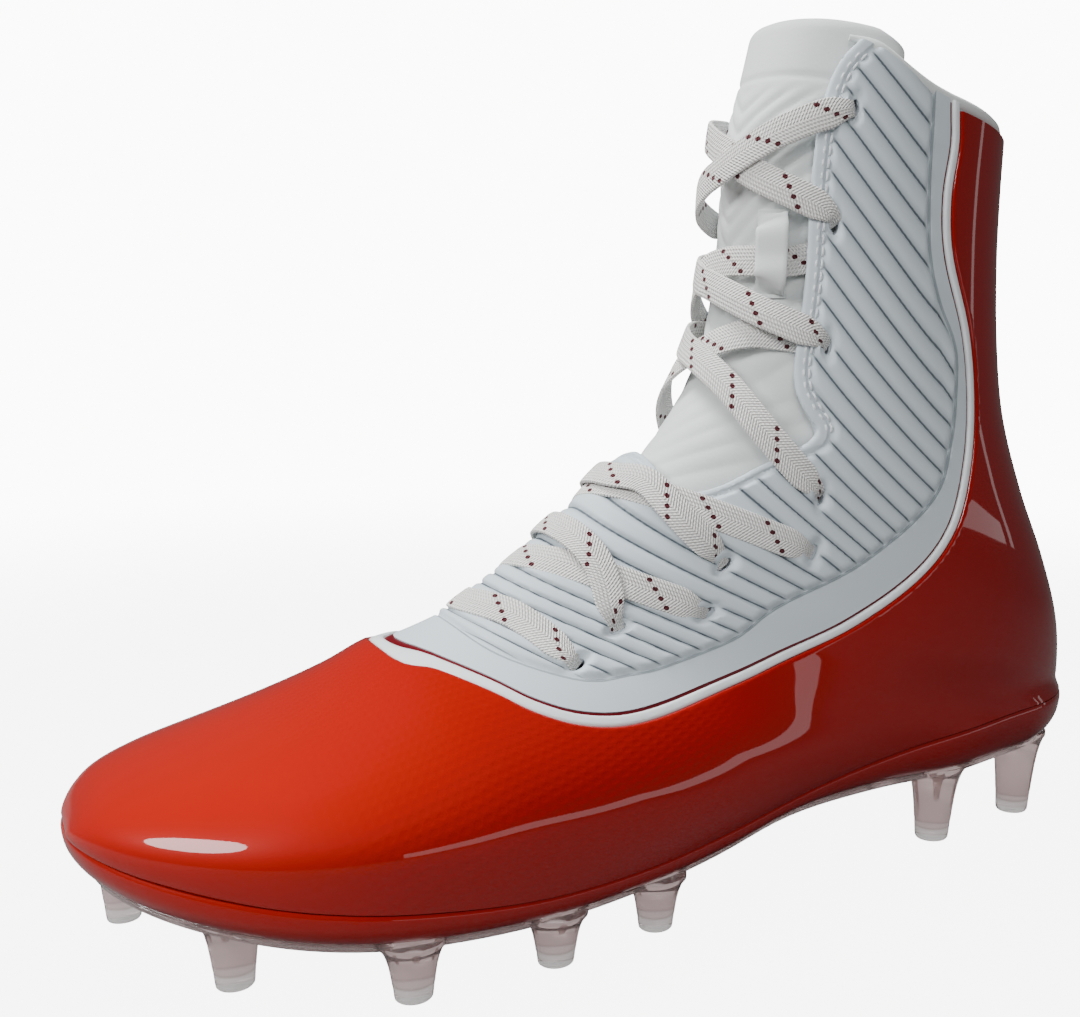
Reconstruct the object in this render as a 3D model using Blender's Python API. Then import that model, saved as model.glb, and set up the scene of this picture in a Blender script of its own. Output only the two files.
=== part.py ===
"""American football cleat, the wearer's left shoe: a studded plate, a sole, a hollow high upper, an overlay.

Metres, +Z up. The toe points to -Y, the outer side of the foot to +X, and the studs stand on z = 0.
A place on the shoe is told by its station, from the back of the heel towards the toe, and by its height
above the tread, the lowest underside of the plate. The studs carry the tread STUD_HEIGHT above the ground.
"""

import math

import bmesh
import bpy
import numpy as np

# Driving sizes
LENGTH = 0.294
BALL_WIDTH = 0.100
COLLAR_HEIGHT = 0.205
SEAM_HEIGHT = 0.028
STUD_HEIGHT = 0.0125

# The heel's axis stands this far to the outer side of the middle of the shoe's width.
HEEL_AXIS = 0.00095

# Walls, layers and the clearances between them
WALL = 0.0028
OVERLAY_THICKNESS = 0.0013
OVERLAY_GAP = 0.0005
TONGUE_THICKNESS = 0.0050
TONGUE_GAP = 0.0009
INSOLE_THICKNESS = 0.0035
INSOLE_MARGIN = 0.0025
INSOLE_BEVEL = 0.0018
PLATE_THICKNESS = 0.0024
PLATE_INSET = 0.0010
PLATE_GAP = 0.0005
MIDSOLE_UNDERCUT = 0.0040
CLEARANCE = 0.0003

# Flat bands: the laces and the loop on the tongue that keeps them
LACE_WIDTH = 0.0078
LACE_THICKNESS = 0.0013
LACE_LIFT = 0.0009
LACE_STEP = 0.0007
KEEPER_WIDTH = 0.0085
KEEPER_THICKNESS = 0.0010

# Studs: radii along and across the foot, at the plate and at the tip
STUD_TOP_LENGTH = 0.0068
STUD_TOP_WIDTH = 0.0060
STUD_TIP_LENGTH = 0.0044
STUD_TIP_WIDTH = 0.0040

# A stud's side, from its tip up to its foot. rise: of its height. swell: from the tip's radii at 0 to the
# plate's at 1. The foot swells further inside the plate, into this share of the plate's thickness.
STUD_PROFILE = ((0.00, 0.00), (0.04, 0.10), (0.70, 0.62), (1.00, 1.00))
STUD_FOOT_SWELL = 1.35
STUD_FOOT_SHARE = 0.6

# Round ends of the sole's outline
HEEL_ROUND = 0.034
TOE_ROUND = 0.067
TOE_POWER = 2.15

# Fineness of the meshes
COLUMNS_PER_SIDE = 16
OUTLINE_STEPS = 26
EDGE_STEPS = 60
BAND_STEPS = 12
TONGUE_COLUMNS = 17
STUD_SIDES = 12
SHARP_ANGLE = 40

# How the outward direction is taken from the form: the reach of its samples in rows and across, the last
# place across that is sampled, how far above the seam it starts to turn level, and over how many rows it
# turns at the heel and at the toe.
SAMPLE_ROWS = 0.05
SAMPLE_ACROSS = 0.02
LAST_SAMPLE = 0.96
LEVEL_ACROSS = 0.12
HEEL_TURN_ROWS = 0.6
TOE_TURN_ROWS = 0.4

# The sole's outline. station: of LENGTH. centre, half: of BALL_WIDTH, the centre line's offset to the outer
# side and the half width. The round ends close it at the heel and at the toe.
OUTLINE = (
    (0.000, 0.000, 0.352),
    (0.123, 0.005, 0.352),
    (0.192, 0.010, 0.357),
    (0.282, 0.020, 0.330),
    (0.381, 0.040, 0.315),
    (0.480, 0.060, 0.340),
    (0.580, 0.055, 0.400),
    (0.679, 0.030, 0.455),
    (0.761, 0.000, 0.480),
    (0.858, -0.045, 0.485),
    (0.937, -0.100, 0.485),
    (1.000, -0.140, 0.485),
)

# The edge where upper and sole meet. station: of LENGTH. seam: of SEAM_HEIGHT, its height. depth: of
# SEAM_HEIGHT, how far the sole's side reaches down from it.
SEAM = (
    (0.000, 1.000, 0.392),
    (0.102, 0.981, 0.447),
    (0.204, 0.874, 0.428),
    (0.306, 0.715, 0.304),
    (0.405, 0.536, 0.197),
    (0.493, 0.393, 0.214),
    (0.585, 0.321, 0.214),
    (0.680, 0.321, 0.233),
    (0.782, 0.421, 0.285),
    (0.857, 0.522, 0.304),
    (0.935, 0.654, 0.304),
    (1.000, 0.786, 0.285),
)

# Sections of the upper, from above the collar to the toe. top_station, base_station: of LENGTH.
# top_height: of COLLAR_HEIGHT. base_height: of COLLAR_HEIGHT up the heel's back line, 0 where the base lies
# on the seam. centre: of BALL_WIDTH, the top's offset. outer, inner: of BALL_WIDTH, how far the widest place
# stands outside the sole's outline there. widest: where along the section that is. base_power, top_power:
# how square its rounds are.
SECTION_COLUMNS = (
    "top_station", "top_height", "base_station", "base_height", "centre", "outer", "inner",
    "widest", "base_power", "top_power",
)
SECTIONS = (
    (0.388, 1.063, 0.129, 0.984, -0.02, -0.050, -0.030, 0.46, 2.2, 2.3),
    (0.401, 0.995, 0.126, 0.922, -0.02, -0.053, -0.033, 0.46, 2.2, 2.3),
    (0.415, 0.927, 0.125, 0.843, -0.02, -0.053, -0.033, 0.46, 2.2, 2.3),
    (0.422, 0.843, 0.124, 0.755, -0.02, -0.050, -0.030, 0.45, 2.2, 2.3),
    (0.425, 0.758, 0.119, 0.645, -0.02, -0.040, -0.020, 0.44, 2.2, 2.3),
    (0.433, 0.678, 0.107, 0.537, -0.02, -0.022, -0.002, 0.43, 2.2, 2.3),
    (0.453, 0.610, 0.076, 0.428, -0.02, -0.004, 0.014, 0.42, 2.2, 2.2),
    (0.479, 0.555, 0.037, 0.325, -0.02, 0.006, 0.022, 0.40, 2.2, 2.2),
    (0.510, 0.509, 0.008, 0.230, -0.02, 0.010, 0.024, 0.38, 2.2, 2.1),
    (0.541, 0.471, 0.000, 0.145, -0.02, 0.010, 0.022, 0.36, 2.2, 2.1),
    (0.570, 0.436, 0.020, 0.000, -0.02, 0.010, 0.020, 0.34, 2.2, 2.0),
    (0.598, 0.405, 0.069, 0.000, -0.02, 0.010, 0.018, 0.32, 2.2, 2.0),
    (0.624, 0.376, 0.138, 0.000, -0.03, 0.010, 0.016, 0.30, 2.2, 2.0),
    (0.650, 0.351, 0.227, 0.000, -0.04, 0.010, 0.014, 0.30, 2.2, 2.0),
    (0.676, 0.324, 0.331, 0.000, -0.05, 0.010, 0.012, 0.30, 2.2, 2.0),
    (0.701, 0.307, 0.436, 0.000, -0.06, 0.010, 0.012, 0.30, 2.2, 2.0),
    (0.726, 0.292, 0.535, 0.000, -0.07, 0.010, 0.012, 0.30, 2.2, 2.0),
    (0.753, 0.279, 0.626, 0.000, -0.08, 0.010, 0.012, 0.30, 2.2, 2.0),
    (0.782, 0.254, 0.709, 0.000, -0.09, 0.010, 0.012, 0.30, 2.2, 2.0),
    (0.816, 0.230, 0.783, 0.000, -0.10, 0.010, 0.012, 0.30, 2.2, 2.0),
    (0.854, 0.208, 0.848, 0.000, -0.11, 0.010, 0.012, 0.30, 2.2, 2.0),
    (0.895, 0.188, 0.901, 0.000, -0.12, 0.010, 0.012, 0.30, 2.2, 2.0),
    (0.935, 0.169, 0.944, 0.000, -0.13, 0.010, 0.012, 0.30, 2.2, 2.1),
    (0.969, 0.150, 0.976, 0.000, -0.14, 0.010, 0.012, 0.32, 2.2, 2.2),
    (0.985, 0.134, 0.988, 0.000, -0.14, 0.010, 0.012, 0.34, 2.2, 2.2),
    (0.994, 0.119, 0.996, 0.000, -0.14, 0.010, 0.012, 0.36, 2.2, 2.2),
    (0.998, 0.107, 0.998, 0.000, -0.14, 0.000, 0.000, 0.36, 2.2, 2.2),
)
COLLAR_ROW = 1
HEEL_ROW = 9
OVERLAY_TOP_ROW = 1.15

# Rows that a shell has besides the whole ones, where it turns from the back of the heel on to the seam.
TURN_ROWS = (9.25, 9.60)

# The collar's points rise in front: where round the collar, over what width, and by how many rows.
PEAK_ACROSS = 0.29
PEAK_WIDTH = 0.24
PEAK_ROWS = 0.55

# The sole's side, from the seam down. drop: of its depth. inset: of MIDSOLE_UNDERCUT.
SIDE_PROFILE = ((0.00, 0.10), (0.15, 0.00), (0.50, 0.12), (0.80, 0.50), (1.00, 1.00))

# The plate's side. drop: of PLATE_THICKNESS. inset: of PLATE_THICKNESS.
PLATE_PROFILE = ((0.00, 0.25), (0.30, 0.00), (0.70, 0.05), (1.00, 0.45))

# The throat, seen from the front. height: of COLLAR_HEIGHT. half: of BALL_WIDTH, half its width. It is cut
# between these two stations, of LENGTH.
THROAT_STATIONS = (0.29, 0.75)
THROAT = (
    (0.464, 0.000),
    (0.472, 0.130),
    (0.485, 0.200),
    (0.510, 0.262),
    (0.532, 0.285),
    (0.556, 0.270),
    (0.590, 0.240),
    (0.640, 0.225),
    (0.800, 0.212),
    (0.920, 0.210),
    (0.975, 0.215),
    (1.010, 0.235),
    (1.060, 0.290),
)

# The upper edge of the red overlay, seen from the side, from the toe's ridge back and up to the collar.
# station: of LENGTH. height: of COLLAR_HEIGHT.
OVERLAY_EDGE = (
    (0.756, 0.346),
    (0.748, 0.282),
    (0.719, 0.272),
    (0.689, 0.255),
    (0.660, 0.233),
    (0.626, 0.216),
    (0.585, 0.208),
    (0.537, 0.213),
    (0.473, 0.231),
    (0.429, 0.248),
    (0.348, 0.286),
    (0.279, 0.340),
    (0.239, 0.399),
    (0.219, 0.474),
    (0.208, 0.570),
    (0.213, 0.663),
    (0.238, 0.763),
    (0.243, 0.834),
    (0.237, 0.901),
    (0.240, 0.960),
    (0.243, 1.100),
)

# The tongue's rows, from above the collar to under the vamp. row: of the section table. half: how far it
# reaches round the foot to each side.
TONGUE = (
    (0.05, 0.350),
    (0.20, 0.410),
    (0.60, 0.440),
    (1.50, 0.430),
    (3.00, 0.410),
    (4.00, 0.390),
    (5.00, 0.375),
    (6.00, 0.365),
    (7.00, 0.360),
    (8.00, 0.345),
    (9.00, 0.325),
    (10.0, 0.300),
)

# Studs. station: of LENGTH. side: 1 outer, -1 inner. inset: of BALL_WIDTH, from the sole's outline to the
# stud's middle. size: of the stud's radii.
STUDS = (
    ("stud_toe_outer", 0.890, 1, 0.215, 1.00),
    ("stud_toe_inner", 0.954, -1, 0.105, 0.95),
    ("stud_ball_outer", 0.772, 1, 0.092, 1.00),
    ("stud_ball_inner", 0.830, -1, 0.125, 1.00),
    ("stud_middle_outer", 0.652, 1, 0.090, 1.00),
    ("stud_middle_inner", 0.708, -1, 0.125, 1.00),
    ("stud_waist_outer", 0.550, 1, 0.092, 1.00),
    ("stud_waist_inner", 0.585, -1, 0.120, 1.00),
    ("stud_heel_front_outer", 0.202, 1, 0.125, 1.15),
    ("stud_heel_front_inner", 0.198, -1, 0.120, 1.15),
    ("stud_heel_back_outer", 0.072, 1, 0.135, 1.15),
    ("stud_heel_back_inner", 0.072, -1, 0.125, 1.15),
)

# Laces, each a band over the foot through three places, told by row and across. level: which band lies
# over the other where they cross.
LACES = (
    ("lace_bar", ((14.2, -0.25), (13.5, 0.02), (14.2, 0.25)), 0),
    ("lace_crossing_1", ((12.9, -0.24), (11.8, 0.02), (11.7, 0.28)), 0),
    ("lace_crossing_1", ((11.7, -0.28), (10.8, 0.02), (12.9, 0.24)), 1),
    ("lace_crossing_2", ((10.0, -0.25), (9.3, 0.02), (8.8, 0.31)), 0),
    ("lace_crossing_2", ((8.8, -0.31), (8.8, 0.02), (10.0, 0.25)), 1),
    ("lace_crossing_3", ((7.4, -0.30), (6.2, -0.02), (5.2, 0.14)), 0),
    ("lace_crossing_3", ((5.3, -0.15), (5.7, 0.02), (7.5, 0.30)), 1),
    ("lace_crossing_4", ((5.0, -0.29), (4.2, -0.04), (3.9, 0.18)), 0),
    ("lace_crossing_4", ((3.8, -0.17), (4.45, 0.03), (4.98, 0.29)), 1),
    ("lace_crossing_5", ((1.7, -0.32), (2.6, 0.02), (3.3, 0.30)), 0),
    ("lace_crossing_5", ((3.3, -0.30), (2.75, 0.02), (1.7, 0.32)), 1),
)
KEEPER_ROWS = (3.35, 3.52, 3.90, 4.22, 4.40)
KEEPER_ACROSS = 0.165

# Colours, linear
WHITE = (0.72, 0.75, 0.76)
SOFT_WHITE = (0.78, 0.79, 0.77)
RED = (0.62, 0.016, 0.008)
SMOKE = (0.55, 0.47, 0.46)
GREY = (0.45, 0.47, 0.48)

LAST_ROW = len(SECTIONS) - 1


def metres(station, height=0.0, across=0.0):
    """A place in the shoe's frame from its station, height and offset to the outer side, all in metres."""
    return (across + HEEL_AXIS, LENGTH / 2 - station, height + STUD_HEIGHT)


def smooth(table, at, column):
    """The column's value at this place of the table's first column, by a curve through its rows."""
    keys = np.array([row[0] for row in table])
    values = np.array([row[column] for row in table])
    slopes = np.gradient(values, keys)
    at = np.clip(at, keys[0], keys[-1])
    i = np.clip(np.searchsorted(keys, at) - 1, 0, len(keys) - 2)
    span = keys[i + 1] - keys[i]
    t = (at - keys[i]) / span
    return (
        values[i] * (1 + 2 * t) * (1 - t) ** 2
        + values[i + 1] * t * t * (3 - 2 * t)
        + span * (slopes[i] * t * (1 - t) ** 2 - slopes[i + 1] * t * t * (1 - t))
    )


def outline_centre(station):
    return BALL_WIDTH * smooth(OUTLINE, station / LENGTH, 1)


def outline_half(station):
    """Half the sole's width: the table's body, closed by a round at the heel and at the toe."""
    body = BALL_WIDTH * smooth(OUTLINE, station / LENGTH, 2)
    back = np.clip(1 - station / HEEL_ROUND, 0, 1)
    front = np.clip((station - LENGTH + TOE_ROUND) / TOE_ROUND, 0, 1)
    return body * np.sqrt(1 - back**2) * (1 - front**TOE_POWER) ** (1 / TOE_POWER)


def inset_half(station, inset):
    """Half the sole's width less this inset, which fades out where the round ends close."""
    half = outline_half(station)
    return half - inset * np.clip(half / HEEL_ROUND, 0, 1)


def seam_height(station):
    return SEAM_HEIGHT * smooth(SEAM, station / LENGTH, 1)


def side_depth(station):
    return SEAM_HEIGHT * smooth(SEAM, station / LENGTH, 2)


def rows_curve(column, row, first, last, flat_start=False, flat_end=False):
    """One column of the section table as a curve of the row, through the rows from first to last."""
    index = SECTION_COLUMNS.index(column)
    values = np.array([entry[index] for entry in SECTIONS[first : last + 1]])
    slopes = np.gradient(values)
    if flat_start:
        slopes[0] = 0.0
    if flat_end:
        slopes[-1] = 0.0
    at = np.clip(row - first, 0, len(values) - 1)
    i = np.clip(np.floor(at).astype(int), 0, len(values) - 2)
    t = at - i
    return (
        values[i] * (1 + 2 * t) * (1 - t) ** 2
        + values[i + 1] * t * t * (3 - 2 * t)
        + slopes[i] * t * (1 - t) ** 2
        - slopes[i + 1] * t * t * (1 - t)
    )


def base_line(row):
    """Station and height of each row's base: down the back of the heel, then along the seam to the toe."""
    back_station = rows_curve("base_station", row, 0, HEEL_ROW, flat_end=True)
    back_height = rows_curve("base_height", row, 0, HEEL_ROW)
    sole_station = rows_curve("base_station", row, HEEL_ROW, LAST_ROW, flat_start=True, flat_end=True)
    on_back = row < HEEL_ROW
    station = LENGTH * np.where(on_back, back_station, sole_station)
    # The back line ends on the seam, whatever the two heights are set to.
    corner = COLLAR_HEIGHT * SECTIONS[HEEL_ROW][SECTION_COLUMNS.index("base_height")]
    drop = (seam_height(0.0) - corner) * np.clip(row / HEEL_ROW, 0, 1) ** 2
    height = np.where(on_back, COLLAR_HEIGHT * back_height + drop, seam_height(station))
    return station, height + CLEARANCE


def form(row, across):
    """Points of the upper's outer face.

    across runs from 1 at the outer base over the top at 0 to -1 at the inner base.
    """
    row, across = np.broadcast_arrays(np.asarray(row, float), np.asarray(across, float))
    side = np.where(across < 0, -1.0, 1.0)
    top_station = LENGTH * rows_curve("top_station", row, 0, LAST_ROW, flat_end=True)
    top_height = COLLAR_HEIGHT * rows_curve("top_height", row, 0, LAST_ROW)
    centre = BALL_WIDTH * rows_curve("centre", row, 0, LAST_ROW)
    widest = rows_curve("widest", row, 0, LAST_ROW)
    base_station, base_height = base_line(row)
    flare = BALL_WIDTH * np.where(
        side > 0,
        rows_curve("outer", row, 0, LAST_ROW),
        rows_curve("inner", row, 0, LAST_ROW),
    )
    inset = OVERLAY_THICKNESS + OVERLAY_GAP
    wide_station = base_station + widest * (top_station - base_station)
    edge = outline_centre(wide_station) + side * inset_half(wide_station, inset - flare)
    base_half = np.where(row < HEEL_ROW, 0.0, inset_half(base_station, inset))
    base_centre = outline_centre(base_station)
    base_power = rows_curve("base_power", row, 0, LAST_ROW)
    top_power = rows_curve("top_power", row, 0, LAST_ROW)
    # Under the widest place the section is a round that ends at the base's half width.
    reach = np.maximum(np.abs(edge - base_centre), 1e-6)
    last_angle = np.arccos(np.clip(base_half / reach, 0, 1 - 1e-9) ** (base_power / 2))
    under = np.abs(across) > 0.5
    low = last_angle * (2 * np.abs(across) - 1).clip(0, 1)
    high = math.pi / 2 * (1 - 2 * np.abs(across)).clip(0, 1)
    drop = np.clip(np.sin(low) / np.sin(last_angle), 0, 1) ** (2 / base_power)
    rise = np.sin(high) ** (2 / top_power)
    share = np.where(under, widest * (1 - drop), widest + (1 - widest) * rise)
    low_x = base_centre + (edge - base_centre) * np.cos(low) ** (2 / base_power)
    # Where the base stands wider than that, the section leans in from it.
    low_x += side * np.maximum(base_half - reach, 0.0) * (2 * np.abs(across) - 1).clip(0, 1) ** 2
    high_x = centre + (edge - centre) * np.clip(np.cos(high), 0, 1) ** (2 / top_power)
    x = np.where(under, low_x, high_x)
    station = base_station + share * (top_station - base_station)
    height = base_height + share * np.maximum(top_height - base_height, 0.0)
    # The overlay's ends are level with the sole's.
    station = inset + station * (1 - 2 * inset / LENGTH)
    return np.stack(metres(station, height, x), axis=-1)


def form_normal(row, across):
    """The form's outward direction, taken from places a little way off on each side."""
    along = form(row + SAMPLE_ROWS, across) - form(row - SAMPLE_ROWS, across)
    round_foot = form(row, across + SAMPLE_ACROSS) - form(row, across - SAMPLE_ACROSS)
    normal = np.cross(along, round_foot)
    return normal / np.linalg.norm(normal, axis=-1, keepdims=True)


def outward(row, across):
    """The direction in which layers are set off: outwards, and level at the seam so that walls stay thick."""
    row, across = np.broadcast_arrays(np.asarray(row, float), np.asarray(across, float))
    at_row = np.clip(row, SAMPLE_ROWS, LAST_ROW - TOE_TURN_ROWS)
    normal = form_normal(at_row, np.clip(across, -LAST_SAMPLE, LAST_SAMPLE))
    near_seam = 1 - np.clip((1 - np.abs(across)) / LEVEL_ACROSS, 0, 1)
    normal[..., 2] *= 1 - near_seam * np.clip(row - HEEL_ROW + 1, 0, 1)
    # Both sides share one direction where they meet down the back of the heel.
    shared = form_normal(at_row, np.full_like(across, LAST_SAMPLE)) * (0.0, 1.0, 1.0)
    shared[..., 2] *= 1 - np.clip(row - HEEL_ROW + 1, 0, 1)
    beyond = np.clip((np.abs(across) - LAST_SAMPLE) / (1 - LAST_SAMPLE), 0, 1)
    blend = (beyond * np.clip(1 - (row - HEEL_ROW) / HEEL_TURN_ROWS, 0, 1))[..., None]
    normal = normal * (1 - blend) + shared * blend
    # At the toe's tip the layers lie in front of each other.
    tip = np.clip(1 - (LAST_ROW - row) / TOE_TURN_ROWS, 0, 1)[..., None]
    normal = normal * (1 - tip) + np.array((0.0, -1.0, 0.0)) * tip
    return normal / np.linalg.norm(normal, axis=-1, keepdims=True)


def layer(row, across, offset):
    """The form moved outwards by the offset, or inwards where it is negative."""
    return form(row, across) + np.asarray(offset)[..., None] * outward(row, across)


def material(name, colour, roughness, coat=0.0, transmission=0.0):
    made = bpy.data.materials.new(name)
    made.use_nodes = True
    shader = made.node_tree.nodes["Principled BSDF"]
    shader.inputs["Base Color"].default_value = (*colour, 1.0)
    shader.inputs["Roughness"].default_value = roughness
    shader.inputs["Metallic"].default_value = 0.0
    shader.inputs["Coat Weight"].default_value = coat
    shader.inputs["Transmission Weight"].default_value = transmission
    return made


def add_object(name, mesh, look=None):
    made = bpy.data.objects.new(name, mesh)
    bpy.context.scene.collection.objects.link(made)
    if look:
        mesh.materials.append(look)
        mesh.shade_smooth()
        mesh.set_sharp_from_angle(angle=math.radians(SHARP_ANGLE))
    return made


def helper(name, mesh):
    """A cutter or a piece that a Boolean joins: it is left out of the part."""
    made = add_object(name, mesh)
    made.hide_render = True
    made.display_type = "WIRE"
    return made


def combine(target, other, operation):
    boolean = target.modifiers.new(operation.lower() + "_" + other.name, "BOOLEAN")
    boolean.object = other
    boolean.operation = operation
    boolean.solver = "EXACT"


def closed_mesh(name, points, faces):
    """A mesh of these points and faces, its doubled points joined and its faces turned outwards."""
    mesh = bpy.data.meshes.new(name)
    mesh.from_pydata([tuple(point) for point in points], [], faces)
    shape = bmesh.new()
    shape.from_mesh(mesh)
    bmesh.ops.remove_doubles(shape, verts=shape.verts, dist=1e-6)
    bmesh.ops.recalc_face_normals(shape, faces=shape.faces)
    shape.to_mesh(mesh)
    shape.free()
    return mesh


def wall_mesh(name, outer, inner, closed_until=0):
    """A wall between two grids of points. Its two long edges are one up to the row closed_until."""
    rows, columns = outer.shape[:2]
    points = np.concatenate([outer.reshape(-1, 3), inner.reshape(-1, 3)])
    across = rows * columns

    def at(i, j, side=0):
        return side * across + i * columns + j

    faces = []
    for i in range(rows - 1):
        for j in range(columns - 1):
            for side in (0, 1):
                faces.append((at(i, j, side), at(i, j + 1, side), at(i + 1, j + 1, side)))
                faces.append((at(i, j, side), at(i + 1, j + 1, side), at(i + 1, j, side)))
    for j in range(columns - 1):
        faces.append((at(0, j), at(0, j, 1), at(0, j + 1, 1), at(0, j + 1)))
        faces.append((at(rows - 1, j), at(rows - 1, j + 1), at(rows - 1, j + 1, 1), at(rows - 1, j, 1)))
    for i in range(closed_until, rows - 1):
        for j in (0, columns - 1):
            faces.append((at(i, j), at(i + 1, j), at(i + 1, j, 1), at(i, j, 1)))
    return closed_mesh(name, points, faces)


def curve_through(points, steps):
    """An even number of points on a smooth curve through these."""
    points = np.array(points, float)
    slopes = np.gradient(points, axis=0)
    at = np.linspace(0, len(points) - 1, steps)
    i = np.clip(at.astype(int), 0, len(points) - 2)
    t = (at - i)[:, None]
    return (
        points[i] * (1 + 2 * t) * (1 - t) ** 2
        + points[i + 1] * t * t * (3 - 2 * t)
        + slopes[i] * t * (1 - t) ** 2
        - slopes[i + 1] * t * t * (1 - t)
    )


def prism(name, outline, direction, start, end):
    """A closed prism: an outline of points in space, carried along the direction from start to end."""
    near = np.array(outline) + np.array(direction) * start
    far = np.array(outline) + np.array(direction) * end
    count = len(near)
    sides = [(i, (i + 1) % count, count + (i + 1) % count, count + i) for i in range(count)]
    caps = [tuple(range(count)), tuple(range(2 * count - 1, count - 1, -1))]
    return helper(name, closed_mesh(name, np.concatenate([near, far]), sides + caps))


def collar_line(across):
    """The row where the collar's edge lies: it rises to a point on each side of the throat."""
    away = np.clip(np.abs(np.abs(across) - PEAK_ACROSS) / PEAK_WIDTH, 0, 1)
    return COLLAR_ROW - PEAK_ROWS * 0.5 * (1 + np.cos(math.pi * away))


def shell_grid(top_line):
    """Rows and places round the foot for a shell that hangs from the top line down to the seam."""
    across = np.linspace(1, -1, 2 * COLUMNS_PER_SIDE + 1)
    # A column runs down from each of the collar's points.
    for peak in (PEAK_ACROSS, -PEAK_ACROSS):
        across[np.argmin(np.abs(across - peak))] = peak
    rows = np.sort(np.append(np.arange(COLLAR_ROW, LAST_ROW + 1.0), TURN_ROWS))
    grid = np.repeat(rows[:, None], len(across), axis=1)
    grid[0] = top_line(across)
    grid[1] = (grid[0] + grid[2]) / 2
    return grid, np.repeat(across[None, :], len(rows), axis=0)


def upper(look):
    """The hollow upper: one wall round the foot and the ankle, cut open along the throat."""
    row, across = shell_grid(collar_line)
    mesh = wall_mesh("upper", layer(row, across, 0.0), layer(row, across, -WALL), HEEL_ROW - COLLAR_ROW)
    made = add_object("upper", mesh, look)
    shape = [(half, height) for height, half in THROAT]
    shape = [(-half, height) for half, height in shape[:0:-1]] + shape
    front = [metres(0.0, COLLAR_HEIGHT * height, BALL_WIDTH * half) for half, height in shape]
    start, end = THROAT_STATIONS
    combine(made, prism("throat_cutter", front, (0, -1, 0), start * LENGTH, end * LENGTH), "DIFFERENCE")
    return made


def overlay(look):
    """The moulded red overlay over the toe, the sides and the back of the heel, cut from a larger shell."""
    row, across = shell_grid(lambda place: np.full_like(place, OVERLAY_TOP_ROW))
    inner = layer(row, across, OVERLAY_GAP)
    outer = layer(row, across, OVERLAY_GAP + OVERLAY_THICKNESS)
    made = add_object("overlay", wall_mesh("overlay", outer, inner, HEEL_ROW - COLLAR_ROW), look)
    edge = [(LENGTH * a, COLLAR_HEIGHT * b) for a, b in curve_through(OVERLAY_EDGE, EDGE_STEPS)]
    beyond = 0.1 * LENGTH
    front = LENGTH + beyond
    edge += [(-beyond, edge[-1][1]), (-beyond, -beyond), (front, -beyond), (front, edge[0][1])]
    side = [metres(station, height) for station, height in edge]
    combine(made, prism("overlay_cutter", side, (1, 0, 0), -BALL_WIDTH, BALL_WIDTH), "INTERSECT")
    return made


def ring(inset):
    """Stations and offsets round the sole's outline, moved inwards, from the heel by the outer side."""
    steps = np.arange(OUTLINE_STEPS + 1) / OUTLINE_STEPS
    station = LENGTH * (1 - np.cos(math.pi * steps)) / 2
    outer = np.stack([station, outline_centre(station) + outline_half(station)], axis=1)
    inner = np.stack([station, outline_centre(station) - outline_half(station)], axis=1)
    points = np.concatenate([outer, inner[-2:0:-1]])
    along = np.roll(points, -1, axis=0) - np.roll(points, 1, axis=0)
    normal = np.stack([along[:, 1], -along[:, 0]], axis=1)
    return points + inset * normal / np.linalg.norm(normal, axis=1, keepdims=True)


def slab_mesh(name, rings):
    """A closed slab from rings of points, the first on top; each face across it spans one station."""
    points = np.concatenate(rings)
    count = len(rings[0])
    half = count // 2
    faces = []
    for level in range(len(rings) - 1):
        for i in range(count):
            a = level * count + i
            b = level * count + (i + 1) % count
            faces.append((a, b, b + count, a + count))
    for level in (0, len(rings) - 1):
        for i in range(half):
            near = level * count + (count - i) % count
            far = level * count + count - i - 1
            faces.append(tuple(dict.fromkeys((level * count + i, level * count + i + 1, far, near))))
    return closed_mesh(name, points, faces)


def sole_ring(inset, height):
    """The ring of this inset as points in space; height gives each station's height."""
    points = ring(inset)
    return np.stack(metres(points[:, 0], height(points[:, 0]), points[:, 1]), axis=1)


def sole_bottom(station):
    return seam_height(station) - side_depth(station)


def plate_bottom(station):
    return sole_bottom(station) - PLATE_GAP - PLATE_THICKNESS


def midsole(look):
    """The red sole: its side curves in under the foot."""
    rings = [
        sole_ring(inset * MIDSOLE_UNDERCUT, lambda s, drop=drop: seam_height(s) - drop * side_depth(s))
        for drop, inset in SIDE_PROFILE
    ]
    return add_object("midsole", slab_mesh("midsole", rings), look)


def stud_mesh(name, station, across, size):
    """A tapering stud from its flat tip on the ground up into the plate, with a foot that flares out."""
    top = float(plate_bottom(np.array(station))) + STUD_FOOT_SHARE * PLATE_THICKNESS
    tall = top - PLATE_THICKNESS + STUD_HEIGHT
    levels = [(rise * tall - STUD_HEIGHT, swell) for rise, swell in STUD_PROFILE] + [(top, STUD_FOOT_SWELL)]
    points = []
    for height, share in levels:
        length = size * (STUD_TIP_LENGTH + share * (STUD_TOP_LENGTH - STUD_TIP_LENGTH))
        width = size * (STUD_TIP_WIDTH + share * (STUD_TOP_WIDTH - STUD_TIP_WIDTH))
        for k in range(STUD_SIDES):
            turn = 2 * math.pi * (k + 0.5) / STUD_SIDES
            points.append(metres(station + length * math.cos(turn), height, across + width * math.sin(turn)))
    faces = [tuple(range(STUD_SIDES)), tuple(range(len(points) - STUD_SIDES, len(points)))]
    for level in range(len(levels) - 1):
        for k in range(STUD_SIDES):
            a = level * STUD_SIDES + k
            b = level * STUD_SIDES + (k + 1) % STUD_SIDES
            faces.append((a, b, b + STUD_SIDES, a + STUD_SIDES))
    return closed_mesh(name, points, faces)


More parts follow.
